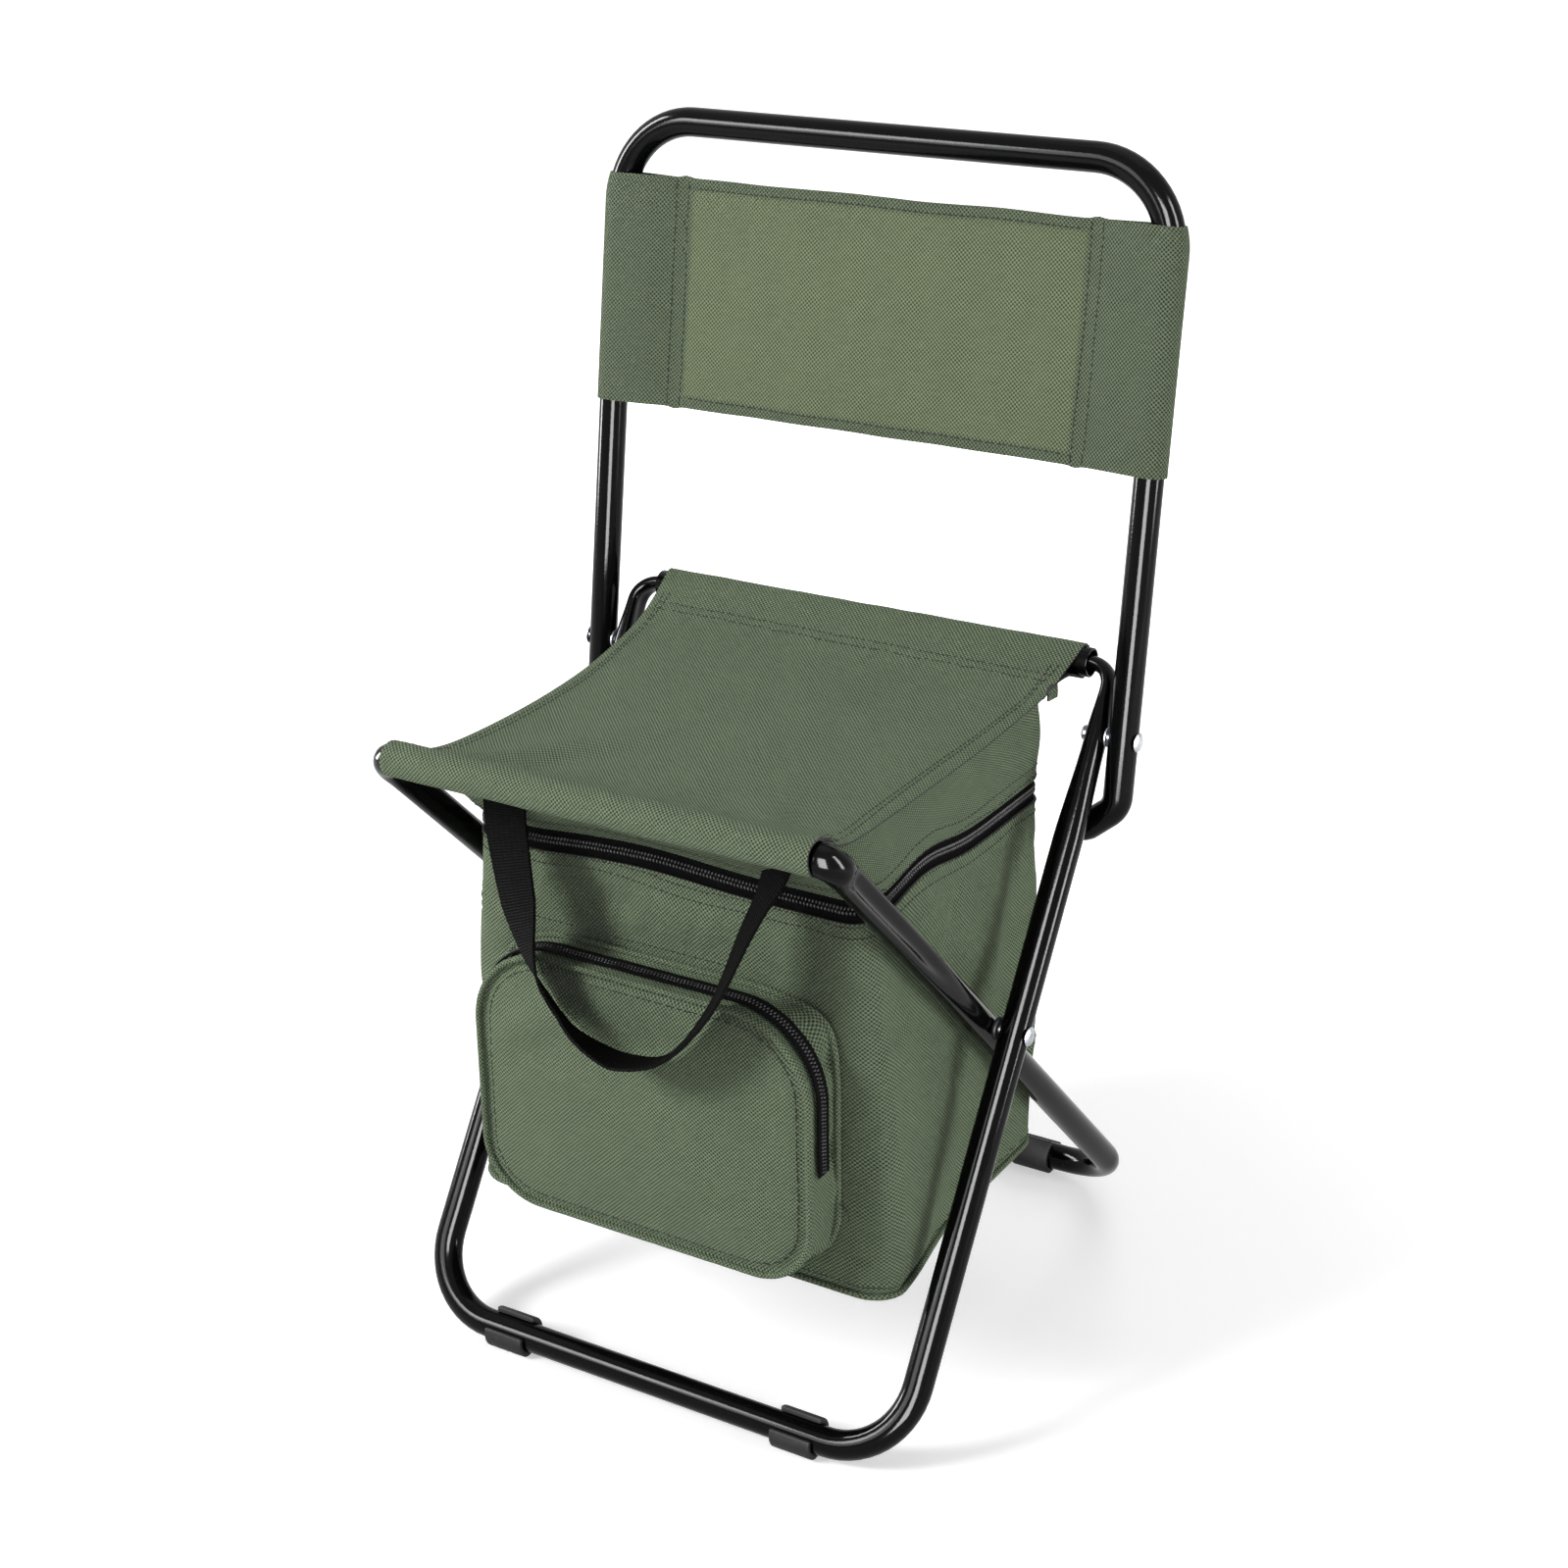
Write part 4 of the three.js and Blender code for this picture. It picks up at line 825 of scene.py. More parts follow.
def under_seat(x, y):
    """Height of the seat's underside, or of the line behind the front sleeve where that is lower."""
    behind_sleeve = front_rail.z - sleeve_drop + sleeve_slope * (y - front_rail.y - sleeve_back)
    return min(seat_height(seat_share(y)) + seat_waves(x, y) - skirt_wall_room, behind_sleeve)


def zip_sway(place):
    """How far the zip rises above its level: the full bag lifts it amid its front and amid each side."""
    front = bell(place.x + 8 * mm, 46 * mm) - 0.35 * bell(place.x + 78 * mm, 18 * mm)
    at_front = clamp((-100 * mm - place.y) / (16 * mm))
    at_side = clamp((abs(place.x) - 106 * mm) / (12 * mm)) * (1 if place.x > 0 else 0.6)
    return zip_front_rise * front * at_front + zip_side_rise * bell(place.y + 62 * mm, 32 * mm) * at_side


def bag_spread(place):
    """How far the full bag spreads sideways at its floor, most at its front corners."""
    front = clamp((-20 * mm - place.y) / (90 * mm))
    return Vector((floor_spread * (place.x / bag_half) ** 3 * ease(front), 0))


around_bag, bag_girth = bag_outline()


def skirt_point(u, v):
    place, out = around_bag(u * bag_girth)
    top_y = skirt_top_front + skirt_top_depth * (place.y - bag_front) / (bag_rear - bag_front)
    top_x = place.x * (seat_half_width(top_y) - skirt_wall_room) / bag_half
    y = place.y + (top_y - place.y) * v
    x = place.x + (top_x - place.x) * v
    low = skirt_low + zip_sway(place)
    z = low + (under_seat(top_x, top_y) - low) * v
    waves = 2.2 * mm * ripple(place.x * 30, y * 30, v * 2) * v * (1 - v) * 4
    swell = 1.4 * mm * math.sin(math.pi * v) + waves + 0.7 * mm * bell(v, 0.06)
    return Vector((x + out.x * swell, y + out.y * swell, z))


skirt_bm = lay_sheet(240, 14, skirt_point, (bag_girth, 58 * mm), closed=True)
skirt = make_cloth(skirt_bm, "bag_upper_band", green, black_coating, girth=bag_girth)
hang_in_bag(skirt, "bag_top", "green_canvas", "bag_skirt")

# Lid. A pad of foam held under the seat by the skirt, faced below with aluminised film and black above. It
# closes the cooler when the zip is shut.
lid_half, lid_front, lid_depth = 116 * mm, -136 * mm, 182 * mm
lid_drop, lid_wall = 3.2 * mm, 2.2 * mm


def crinkled_foil():
    material, tree, bsdf = shader("crinkled_foil")
    where = on_piece(tree)
    creases = wire(tree, "ShaderNodeTexVoronoi", {"Vector": where, "Scale": 90}, feature="DISTANCE_TO_EDGE")
    dents = specks(tree, where, scale=60, detail=6, roughness=0.6)
    height = reckon(tree, "MULTIPLY_ADD", creases.outputs[0], 0.6, dents)
    colour = blend_colours(tree, dents, (0.6, 0.62, 0.64), (0.78, 0.79, 0.8))
    finish(bsdf, colour, spread(tree, dents, (0.3, 0.7), (0.22, 0.4)), relief=(height, 0.5, 2 * mm),
           levels={"Metallic": 0.9})
    return material


foil = crinkled_foil()


def lid_point(u, v):
    x = (2 * u - 1) * lid_half
    y = lid_front + v * lid_depth
    edge = min(u, 1 - u, v, 1 - v)
    swell = 1.6 * mm * min(edge / 0.06, 1) + 0.6 * mm * ripple(x * 70, y * 70, 1)
    return Vector((x, y, under_seat(x, y) - lid_drop - swell))


lid_bm = lay_sheet(48, 40, lid_point, (2 * lid_half, lid_depth))
thicken(lid_bm, -lid_wall, 1)
bmesh.ops.recalc_face_normals(lid_bm, faces=lid_bm.faces)
lid = make_piece(lid_bm, "foil_lid", foil, black_coating, sharp=60)
hang_in_bag(lid, "bag_top", "silver_foil", "lid_foam")

# Bag shell. The canvas tub below the zip: one strip round the sides, sewn to a floor. The foam inside swells
# it between its seams and spreads it at the floor's front corners. Its front lies flat under the pocket, soft
# folds stand near its corners, and its sides stay clear of the rear legs.
shell_top, shell_bottom = zip_middle - zip_gap, 87.2 * mm
shell_height = shell_top - shell_bottom
leg_line = rear_bar_y + bar_height
open_leg_y, open_leg_z = 20.5 * mm, 92.4 * mm
open_leg_across = (0.906, 0.4237)
floor_level = 86.9 * mm
floor_wall = 0.9 * mm
bag_middle = Vector((0, (bag_front + bag_rear) / 2))
settle_frames = 24


def settle(bm, held, push, slack, most):
    """Lets drawn cloth find its own folds: a short cloth simulation with no gravity, a little pressure and a
    little slack. The held points stay, and no other point moves further than most from where it was drawn."""
    scene = bpy.context.scene
    mesh = bpy.data.meshes.new("settling")
    bm.to_mesh(mesh)
    trial = bpy.data.objects.new("settling", mesh)
    scene.collection.objects.link(trial)
    bm.verts.index_update()
    pins = trial.vertex_groups.new(name="held")
    pins.add([vert.index for vert in bm.verts if held(vert)], 1, "REPLACE")
    cloth = trial.modifiers.new("cloth", "CLOTH")
    cloth.settings.vertex_group_mass = "held"
    cloth.settings.quality = 5
    cloth.settings.mass = 0.2
    cloth.settings.bending_stiffness = 0.9
    cloth.settings.use_pressure = True
    cloth.settings.uniform_pressure_force = push
    cloth.settings.shrink_min = -slack
    cloth.settings.effector_weights.gravity = 0
    cloth.point_cache.frame_start, cloth.point_cache.frame_end = 1, settle_frames
    for tick in range(1, settle_frames + 1):
        scene.frame_set(tick)
    settled = trial.evaluated_get(bpy.context.evaluated_depsgraph_get()).data
    for vert, spot in zip(bm.verts, settled.vertices):
        move = spot.co - vert.co
        vert.co += move * most / (most + move.length)
    scene.frame_set(1)
    bpy.data.objects.remove(trial)
    bpy.data.meshes.remove(mesh)


def shell_point(u, v):
    place, out = around_bag(u * bag_girth)
    z = shell_bottom + v * shell_height
    swell = math.sin(math.pi * v) ** 0.7
    front = clamp((10 * mm - place.y) / (100 * mm))
    low = bell(v - 0.2, 0.24)
    beside_leg = 1 - clamp((abs(place.y - (leg_line - z)) - 14 * mm) / (22 * mm))
    free = 1 - abs(out.x) * beside_leg
    push = swell * (3.2 * mm * abs(out.y) + 1.5 * mm * abs(out.x) * free)
    push += 3.4 * mm * low * front * swell * free
    push += 2 * mm * swell * free * ripple(place.x * 17, place.y * 17, z * 5)
    push += 0.9 * mm * swell * free * ripple(place.x * 50, place.y * 50, z * 9)
    if abs(out.x) > 0.7:
        rear_fold = place.y - 28 * mm - 0.1 * (z - 190 * mm)
        front_fold = place.y + 66 * mm + 0.2 * (z - 190 * mm)
        push -= 4.2 * mm * swell * bell(rear_fold, 13 * mm)
        push -= 2.6 * mm * swell * bell(front_fold, 15 * mm) * bell(v - 0.75, 0.3)
    if out.y < -0.7:
        corner_fold = abs(place.x) - 92 * mm - 0.12 * (230 * mm - z)
        push -= 4 * mm * swell * bell(corner_fold, 9 * mm) * bell(v - 0.7, 0.35)
        push -= 3.4 * mm * bell(place.x + 40 * mm, 24 * mm) * bell(z - 276 * mm, 11 * mm)
        push += 2.2 * mm * bell(place.x - 14 * mm, 30 * mm) * bell(z - 280 * mm, 12 * mm)
    facing = clamp((-out.y - 0.55) / 0.45)
    push *= 1 - 0.85 * facing * clamp((284 * mm - z) / (22 * mm))
    push -= 1.5 * mm * max(0, 1 - v / 0.02) - 0.7 * mm * bell(1 - v, 0.012)
    z += zip_sway(place) * v ** 4
    wide = bag_spread(place).x * (1 - v) ** 1.3
    return Vector((place.x + wide + out.x * push, place.y + out.y * push, z))


def shell_held(vert):
    """Seams hold the tub's rims and the pocket's place; the rear legs hold the strip of side they pass."""
    x, y, z = vert.co
    beside_leg = abs(x) > 105 * mm and abs(y + z - leg_line) < 30 * mm
    under_pocket = abs(x) < 104 * mm and y < bag_front + 10 * mm and z < 264 * mm
    return beside_leg or under_pocket or not shell_bottom + 3 * mm < z < shell_top - 12 * mm


def leg_room(y, z):
    """How far a side may swell there: little on the rear leg's line, shut or open, and between the two."""
    shut = (y + z - leg_line) * math.sqrt(0.5)
    opened = (y - open_leg_y) * open_leg_across[0] + (z - open_leg_z) * open_leg_across[1]
    away = min(abs(shut), abs(opened)) if shut * opened > 0 else 0
    return 1 * mm + 7 * mm * clamp((away - 13 * mm) / (22 * mm))


shell_bm = lay_sheet(300, 80, shell_point, (bag_girth, shell_height), closed=True)
settle(shell_bm, shell_held, push=0.6, slack=0.012, most=5 * mm)
for vert in shell_bm.verts:
    swell = abs(vert.co.x) - bag_half
    if swell > 0 and vert.co.y > bag_front + bag_corner:
        room = leg_room(vert.co.y, vert.co.z) + bag_spread(vert.co.xy).length
        vert.co.x = math.copysign(bag_half + room * math.tanh(swell / room), vert.co.x)
shell = make_cloth(shell_bm, "bag_tub", green, black_coating, girth=bag_girth)
hang_in_bag(shell, "cooler_tub", "green_canvas", "bag_shell")


def lie_flat(bm, first, second):
    """Cuts a flat panel's weave from two of its own axes, and turns its faces outwards."""
    lie = bm.verts.layers.float_vector["flat"]
    for vert in bm.verts:
        vert[lie] = (vert.co[first], vert.co[second], 0)
    bmesh.ops.reverse_faces(bm, faces=bm.faces)


def bag_floor_point(u, v):
    place, out = around_bag(u * bag_girth)
    spot = bag_middle + (place + bag_spread(place) - out * 2 * mm - bag_middle) * v
    sag = 0.8 * mm * (1 - v ** 4) + 0.4 * mm * ripple(spot.x * 40, spot.y * 40, 0)
    return Vector((spot.x, spot.y, floor_level - sag * min((1 - v) * 12, 1)))


bag_floor_bm = lay_sheet(120, 12, bag_floor_point, (1, 1), closed=True)
lie_flat(bag_floor_bm, 0, 1)
bag_floor = make_cloth(bag_floor_bm, "bag_floor", green, black_coating, wall=floor_wall)
hang_in_bag(bag_floor, "cooler_tub", "green_canvas")

# Piping. A cord in a bias strip of the same canvas, sewn into the seam between the bag's sides and its floor.
# It stiffens the seam and stands a little proud of it.
piping_radius = 1.7 * mm
piping_girth = 2 * math.pi * piping_radius


def lay_piping(name, walk, length, spot_of, steps):
    """A round cord along a closed path; spot_of gives its middle and two directions across it."""
    def cord_point(u, v):
        middle, first, second = spot_of(*walk(v * length))
        angle = 2 * math.pi * u
        radius = piping_radius * (1 + 0.05 * ripple(v * 90, 0, length))
        return middle + radius * (math.cos(angle) * first + math.sin(angle) * second)

    bm = lay_sheet(10, steps, cord_point, (piping_girth, length), closed=True)
    lay_weave(bm, piping_girth, length)
    bmesh.ops.recalc_face_normals(bm, faces=bm.faces)
    return make_piece(bm, name, green, sharp=180)


def base_cord(place, out):
    side = Vector((out.x, out.y, 0))
    middle = Vector((*(place + bag_spread(place)), floor_level - 0.3 * mm)) + side * -0.3 * mm
    return middle, side, Vector((0, 0, 1))


base_piping = lay_piping("bag_floor_piping", around_bag, bag_girth, base_cord, 240)
hang_in_bag(base_piping, "cooler_tub", "green_canvas", "bag_base_piping")

# Lining. A foam tub covered in aluminised film inside the shell, turned over at the rim and sewn to the lower
# zip tape. A pressed grey board stiffens the floor under it.
lining_inset = 6.4 * mm
lining_wall = 6 * mm
lining_floor, lining_rim = 97.4 * mm, 294.4 * mm
around_lining, lining_girth = bag_outline(lining_inset)


def lining_point(u, v):
    """Across the floor to 0.3 of the way, up the walls to 0.9, and then over the rim."""
    place, out = around_lining(u * lining_girth)
    inner = place - out * (lining_wall + 0.6 * mm)
    if v < 0.3:
        spot = bag_middle + (inner - bag_middle) * (v / 0.3)
        z = lining_floor + 0.8 * mm * ripple(spot.x * 50, spot.y * 50, 2)
    elif v < 0.9:
        climb = (v - 0.3) / 0.6
        crease = 0.9 * mm * ripple(place.x * 60, place.y * 60, climb * 14) * math.sin(math.pi * climb)
        spot = inner - out * crease
        z = lining_floor + climb * (lining_rim - lining_floor)
    else:
        over = (v - 0.9) / 0.1
        spot = place - out * (lining_wall * (1 - over) - 3.4 * mm * over)
        z = lining_rim + 1.6 * mm * math.sin(math.pi * over) - 5 * mm * max(over - 0.8, 0)
    return Vector((spot.x, spot.y, z))


lining_bm = lay_sheet(180, 80, lining_point, (1, 1), closed=True)
bmesh.ops.recalc_face_normals(lining_bm, faces=lining_bm.faces)
lining = make_piece(lining_bm, "foil_lining", foil, sharp=60)
hang_in_bag(lining, "cooler_tub", "silver_foil", "bag_lining", "bag_foam")


def pressed_board():
    material, tree, bsdf = shader("pressed_board")
    fibres = specks(tree, on_piece(tree), scale=400, detail=5, roughness=0.6)
    colour = blend_colours(tree, fibres, (0.11, 0.11, 0.1), (0.22, 0.22, 0.2))
    finish(bsdf, colour, spread(tree, fibres, (0.3, 0.7), (0.75, 0.95)))
    return material


def copy_solid(node):
    """A copy of a solid's own mesh, with its loose triangles merged."""
    bm = bmesh.new()
    bm.from_mesh(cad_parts[node].data)
    bmesh.ops.remove_doubles(bm, verts=bm.verts, dist=0.005 * mm)
    return bm


board_bm = copy_solid("bag_base_board")
round_edges(board_bm, offset=0.4 * mm, segments=2, sharper_than=0.7)
board = make_piece(board_bm, "floor_board", pressed_board())
hang_in_bag(board, "cooler_tub", "grey_board", "bag_base_board")

# Main zip. A nylon coil zip in two woven tapes that runs round the front and sides and turns on to the back.
# The upper tape hangs from the skirt, the lower one carries the tub.
zip_end = 70 * mm
zip_tape_wall = 0.9 * mm
tooth_pitch = 2 * mm
tooth_half_sizes = (0.62 * mm, 1.3 * mm, 1.0 * mm)
zip_back = (bag_half - bag_corner - zip_end, 0)
zip_side = (bag_rear - bag_front - 2 * bag_corner, 0)
zip_front = (2 * (bag_half - bag_corner), 0)
zip_turn = (bag_corner, 90)
around_zip, zip_length = outline((-zip_end, bag_rear), math.pi, [
    zip_back, zip_turn, zip_side, zip_turn, zip_front, zip_turn, zip_side, zip_turn, zip_back])


def woven_tape(name, across_pitch, along_pitch, pale):
    """Black woven tape: ribs across it, fine warp along it, and the high threads painted paler than the low
    ones, as painted light, broken into fuzzy speckles.
    """
    material, tree, bsdf = shader(name)
    flat = wire(tree, "ShaderNodeUVMap", {}, uv_map="weave").outputs[0]
    ribs, warp = thread_waves(tree, flat, (across_pitch, along_pitch))
    height = reckon(tree, "MULTIPLY_ADD", ribs, 0.35, warp)
    fuzz = specks(tree, flat, scale=900, detail=4, roughness=0.6)
    # Painted light: the high threads are painted paler than the low ones, broken up by the fuzz speckles.
    share = reckon(tree, "MULTIPLY", fuzz, spread(tree, height, (-1, 1.3), (0.1, 1)))
    colour = blend_colours(tree, share, (0.003, 0.003, 0.003), pale)
    finish(bsdf, colour, spread(tree, fuzz, (0.3, 0.7), (0.62, 0.85)), relief=(height, 0.7, 0.5 * mm),
           levels={"Specular IOR Level": 0.012})
    return material


zip_cloth = woven_tape("zip_tape", 0.9 * mm, 0.8 * mm, (0.012, 0.012, 0.0125))
# The coil is painted a paler grey than the other black nylon, as painted glints on its teeth.
coil = matte_black("nylon_coil", (0.034, 0.034, 0.035), 0.45, 2000)


def tooth_steps(length, row):
    """Where the teeth of one row stand along a zip; the two rows are set half a pitch apart."""
    return [(tooth + 0.5 + 0.25 * row) * tooth_pitch for tooth in range(int(length / tooth_pitch))]


def make_chain(name, teeth):
    """Winds one tooth at each spot: its middle, and the ways along the chain, across it and outwards."""
    bm = bmesh.new()
    for middle, *axes in teeth:
        set_bead(bm, middle, axes, tooth_half_sizes)
    return make_piece(bm, name, coil, sharp=180)


up = Vector((0, 0, 1))
for name, node, body, low, high, row in [
    ("upper", "main_zip_upper_tape", "bag_top", zip_middle + 0.2 * mm, zip_high, 1),
    ("lower", "main_zip_lower_tape", "cooler_tub", zip_low, zip_middle - 0.2 * mm, -1),
]:
    def tape_point(u, v):
        place, out = around_zip(u * zip_length)
        spot = place + out * (0.2 * mm * ripple(u * 60, v, 3) - 1.4 * mm)
        return Vector((spot.x, spot.y, low + v * (high - low) + zip_sway(place)))

    teeth = []
    for step in tooth_steps(zip_length, row):
        place, out = around_zip(step)
        outward = Vector((out.x, out.y, 0))
        level = zip_middle + row * 1.2 * mm + zip_sway(place)
        middle = Vector((place.x, place.y, level)) - outward * 0.7 * mm
        slant = (up * row + 0.25 * up.cross(outward)).normalized()
        teeth.append((middle, slant.cross(outward).normalized(), slant, outward))
    tape_bm = lay_sheet(320, 4, tape_point, (zip_length, high - low))
    tape = make_cloth(tape_bm, f"zip_tape_{name}", zip_cloth, wall=zip_tape_wall)
    hang_in_bag(tape, body, "black_webbing", node)
    hang_in_bag(make_chain(f"zip_chain_{name}", teeth), body, "black_webbing")

# Rear hinge. The strip of canvas between the two ends of the zip, at the back. It is sewn to the skirt above
# and the tub below, and the open tub swings on it.
hinge_half, hinge_height = 69 * mm, zip_high - zip_low


def hinge_point(u, v):
    x = hinge_half * (1 - 2 * u)
    return Vector((x, bag_rear + 0.6 * mm + 0.3 * mm * ripple(x * 40, v * 3, 7), zip_low + v * hinge_height))


hinge_bm = lay_sheet(60, 10, hinge_point, (2 * hinge_half, hinge_height))
hinge = make_cloth(hinge_bm, "rear_hinge_strip", green, black_coating)
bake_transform(hinge)
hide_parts("bag_rear_hinge")

# Front pocket. A gusset of canvas stands off the bag's front and a crowned panel closes it, with piping in
# both seams. The cloth folds softly at the upper left, under the carry strap.
pocket_base, pocket_front = -119.7 * mm, -145.7 * mm
pocket_half, pocket_bottom = 101 * mm, 101 * mm
pocket_low_bend, pocket_high_bend = 34 * mm, 46 * mm
pocket_upright = 69 * mm
gusset_overlap = 2.6 * mm
cord_stands_out = 2.4 * mm
pocket_middle = Vector((0, 175 * mm))
half_round = [(pocket_half - pocket_low_bend, 0), (pocket_low_bend, 90), (pocket_upright, 0),
              (pocket_high_bend, 90)]
pocket_top = (2 * (pocket_half - pocket_high_bend), 0)
around_pocket, pocket_girth = outline((0, pocket_bottom), 0, [*half_round, pocket_top, *half_round[::-1]])
pocket_pleats = [((88 * mm, 237 * mm), 9 * mm, 3.6 * mm), ((97 * mm, 222 * mm), 7 * mm, -2.4 * mm),
                 ((101 * mm, 172 * mm), 9 * mm, -2.6 * mm), ((100 * mm, 150 * mm), 8 * mm, 2.2 * mm),
                 ((94 * mm, 114 * mm), 8 * mm, 3 * mm), ((82 * mm, 105 * mm), 7 * mm, -2 * mm)]
gathered_corners = [((90 * mm, 236 * mm), 8 * mm), ((-90 * mm, 236 * mm), 3.5 * mm)]


def corner_pinch(place):
    """How far the gusset's base stands out at its upper corners, where its cloth is gathered."""
    return sum(reach * bell((place - Vector(corner)).length, 17 * mm) for corner, reach in gathered_corners)


def gusset_point(u, v):
    place, out = around_pocket(u * pocket_girth)
    flare = cord_stands_out * max(0, 1 - v / 0.16) ** 2 + corner_pinch(place) * max(0, 1 - v / 0.62)
    crumple = ripple(place.x * 45, place.y * 45, v * 2) + 0.8 * ripple(place.x * 110, place.y * 110, v * 3)
    push = 1.3 * mm * math.sin(math.pi * v) * (0.6 + crumple) + flare
    for spot, width, lift in pocket_pleats:
        push += lift * bell((place - Vector(spot)).length, width) * bell(v - 0.14, 0.12)
    y = pocket_base - gusset_overlap + v * (pocket_front - pocket_base + gusset_overlap)
    return Vector((place.x + out.x * push, y, place.y + out.y * push))


def panel_point(u, v):
    place, out = around_pocket(u * pocket_girth)
    spot = pocket_middle + (place - out * 1.4 * mm - pocket_middle) * v
    crown = 6.4 * mm * (1 - v ** 2.4)
    from_fold = spot - Vector((-64, 214)) * mm
    diagonal = from_fold.x * 0.5 - from_fold.y * 0.86
    along = from_fold.x * 0.86 + from_fold.y * 0.5
    fold = 2.6 * mm * bell(diagonal, 9 * mm) * bell(along, 34 * mm)
    fold -= 1.4 * mm * bell(diagonal - 17 * mm, 11 * mm) * bell(along, 40 * mm)
    waves = 1.1 * mm * ripple(spot.x * 18, spot.y * 18, 5) + 0.35 * mm * ripple(spot.x * 60, spot.y * 60, 2)
    pucker = 0.35 * mm * ripple(u * 170, 0, 4) * bell(v - 0.94, 0.05)
    groove = 1.5 * mm * bell(v - 0.975, 0.02)
    stands_out = 0.6 * mm + crown + (fold + waves) * min((1 - v) * 5, 1) + pucker - groove
    return Vector((spot.x, pocket_front - stands_out, spot.y))


def front_cord(place, out):
    return Vector((place.x, pocket_front - 1.2 * mm, place.y)), Vector((out.x, 0, out.y)), Vector((0, 1, 0))


def base_seam_cord(place, out):
    side = Vector((out.x, 0, out.y))
    stands_out = cord_stands_out + corner_pinch(place)
    middle = Vector((place.x, pocket_base - 2.8 * mm, place.y)) + side * stands_out
    return middle, side, Vector((0, 1, 0))


gusset_bm = lay_sheet(220, 14, gusset_point, (pocket_girth, 28 * mm), closed=True)
gusset = make_cloth(gusset_bm, "pocket_sides", green, black_coating, girth=pocket_girth)
panel_bm = lay_sheet(220, 40, panel_point, (1, 1), closed=True)
lie_flat(panel_bm, 0, 2)
panel = make_cloth(panel_bm, "pocket_front_panel", green, black_coating)
front_piping = lay_piping("pocket_front_cord", around_pocket, pocket_girth, front_cord, 220)
seam_piping = lay_piping("pocket_seam_cord", around_pocket, pocket_girth, base_seam_cord, 220)
for piece, node in ((gusset, "pocket_gusset"), (panel, "pocket_panel"), (front_piping, "pocket_front_piping"),
                    (seam_piping, "pocket_base_piping")):
    hang_in_bag(piece, "cooler_tub", "green_canvas", node)

# Pocket zip. A narrower tape with the same coil, sewn over the gusset near its front edge, up one side, over
# the top and down the other, with three bars of thread at each end.
flap_low, flap_upright = 165 * mm, 39 * mm
flap_front, flap_width, flap_wall = -141.7 * mm, 10 * mm, 0.8 * mm
around_flap, flap_length = outline((-pocket_half, flap_low), math.pi / 2, [
    (flap_upright, 0), (pocket_high_bend, -90), pocket_top, (pocket_high_bend, -90), (flap_upright, 0)])


def flap_point(u, v):
    place, right = around_flap(u * flap_length)
    rise = 2.1 * mm + 0.2 * mm * ripple(u * 30, v, 6)
    return Vector((place.x - right.x * rise, flap_front + (1 - v) * flap_width, place.y - right.y * rise))


flap_bm = lay_sheet(160, 6, flap_point, (flap_length, flap_width))
flap_tape = make_cloth(flap_bm, "pocket_tape", zip_cloth, wall=flap_wall)
teeth = []
for row in (-1, 1):
    for step in tooth_steps(flap_length, row):
        place, right = around_flap(step)
        outward = Vector((-right.x, 0, -right.y))
        y = flap_front + flap_width / 2 + row * 1.15 * mm
        middle = Vector((place.x, y, place.y)) + outward * 2.5 * mm
        across = Vector((0, row, 0))
        teeth.append((middle, across.cross(outward), across, outward))
flap_chain = make_chain("pocket_chain", teeth)
tack_lines = [[flap_point(end + step * 0.002, share / 4) for share in range(5)]
              for end in (0.006, 0.99) for step in range(3)]
flap_tacks = sew("pocket_tape_tacks", flap_tape, tack_lines, pitch=2.4 * mm)
hang_in_bag(flap_tape, "cooler_tub", "black_webbing", "pocket_zip_tape")
hang_in_bag(flap_chain, "cooler_tub", "black_webbing")
hang_in_bag(flap_tacks, "cooler_tub", "black_webbing")

# Zip sliders and pulls. Small zinc castings, tumbled smooth. The sliders run on the coils and the pulls hang
# from them. Their shapes are the solids' own, merged and rounded at every edge.
pull_clears_hinge = 3.4 * mm
for node, body, clear in [
    ("main_zip_slider", "main_slider", 0), ("main_zip_pull", "main_pull", pull_clears_hinge),
    ("pocket_zip_slider", "pocket_slider", 0), ("pocket_zip_pull", "pocket_pull", 0),
]:
    casting_bm = copy_solid(node)
    bmesh.ops.dissolve_limit(casting_bm, angle_limit=math.radians(2), verts=casting_bm.verts,
                             edges=casting_bm.edges)
    round_edges(casting_bm, offset=0.3 * mm, segments=3, sharper_than=0.7, clamp_overlap=True)
    hang_in_bag(make_piece(casting_bm, f"{node}_casting", zinc), body, "zinc", node, clear=clear)

# Carry strap. A length of ribbed black webbing whose ends are sewn to the skirt under the front sleeve. It
# hangs in a loop before the pocket, turning flat at the bottom.
strap_width, strap_wall = 26 * mm, 1.5 * mm
strap_rows = 160
webbing = woven_tape("ribbed_webbing", 3.4 * mm, 1.5 * mm, (0.009, 0.009, 0.0088))
strap_line = [Vector(spot) * mm for spot in [
    (-81, -139.2, 345), (-80, -140.6, 332), (-77, -143.4, 314), (-67, -150.4, 282), (-54, -158.4, 253),
    (-36, -164.2, 234), (-14, -168, 222.5), (10, -169.2, 219), (33, -168.2, 229), (54, -162, 257),
    (69, -153, 296), (79, -143, 324), (83, -139.6, 345)]]
strap_turns = [
    (0, (1, 0, 0)), (0.1, (1, -0.05, 0)), (0.2, (0.97, -0.22, 0)), (0.27, (0.8, -0.55, 0.12)),
    (0.34, (0.56, -0.77, 0.3)), (0.4, (0.5, -0.78, 0.38)), (0.46, (0.3, -0.9, 0.3)),
    (0.52, (0.2, -0.95, 0.2)), (0.58, (0.4, -0.85, 0.35)), (0.66, (0.5, -0.8, 0.34)),
    (0.78, (0.58, -0.74, 0.28)), (0.9, (0.68, -0.68, 0.2)), (0.96, (0.85, -0.5, 0.1)), (1, (0.95, -0.3, 0))]
strap_path, strap_length = even_path(strap_line, strap_rows)


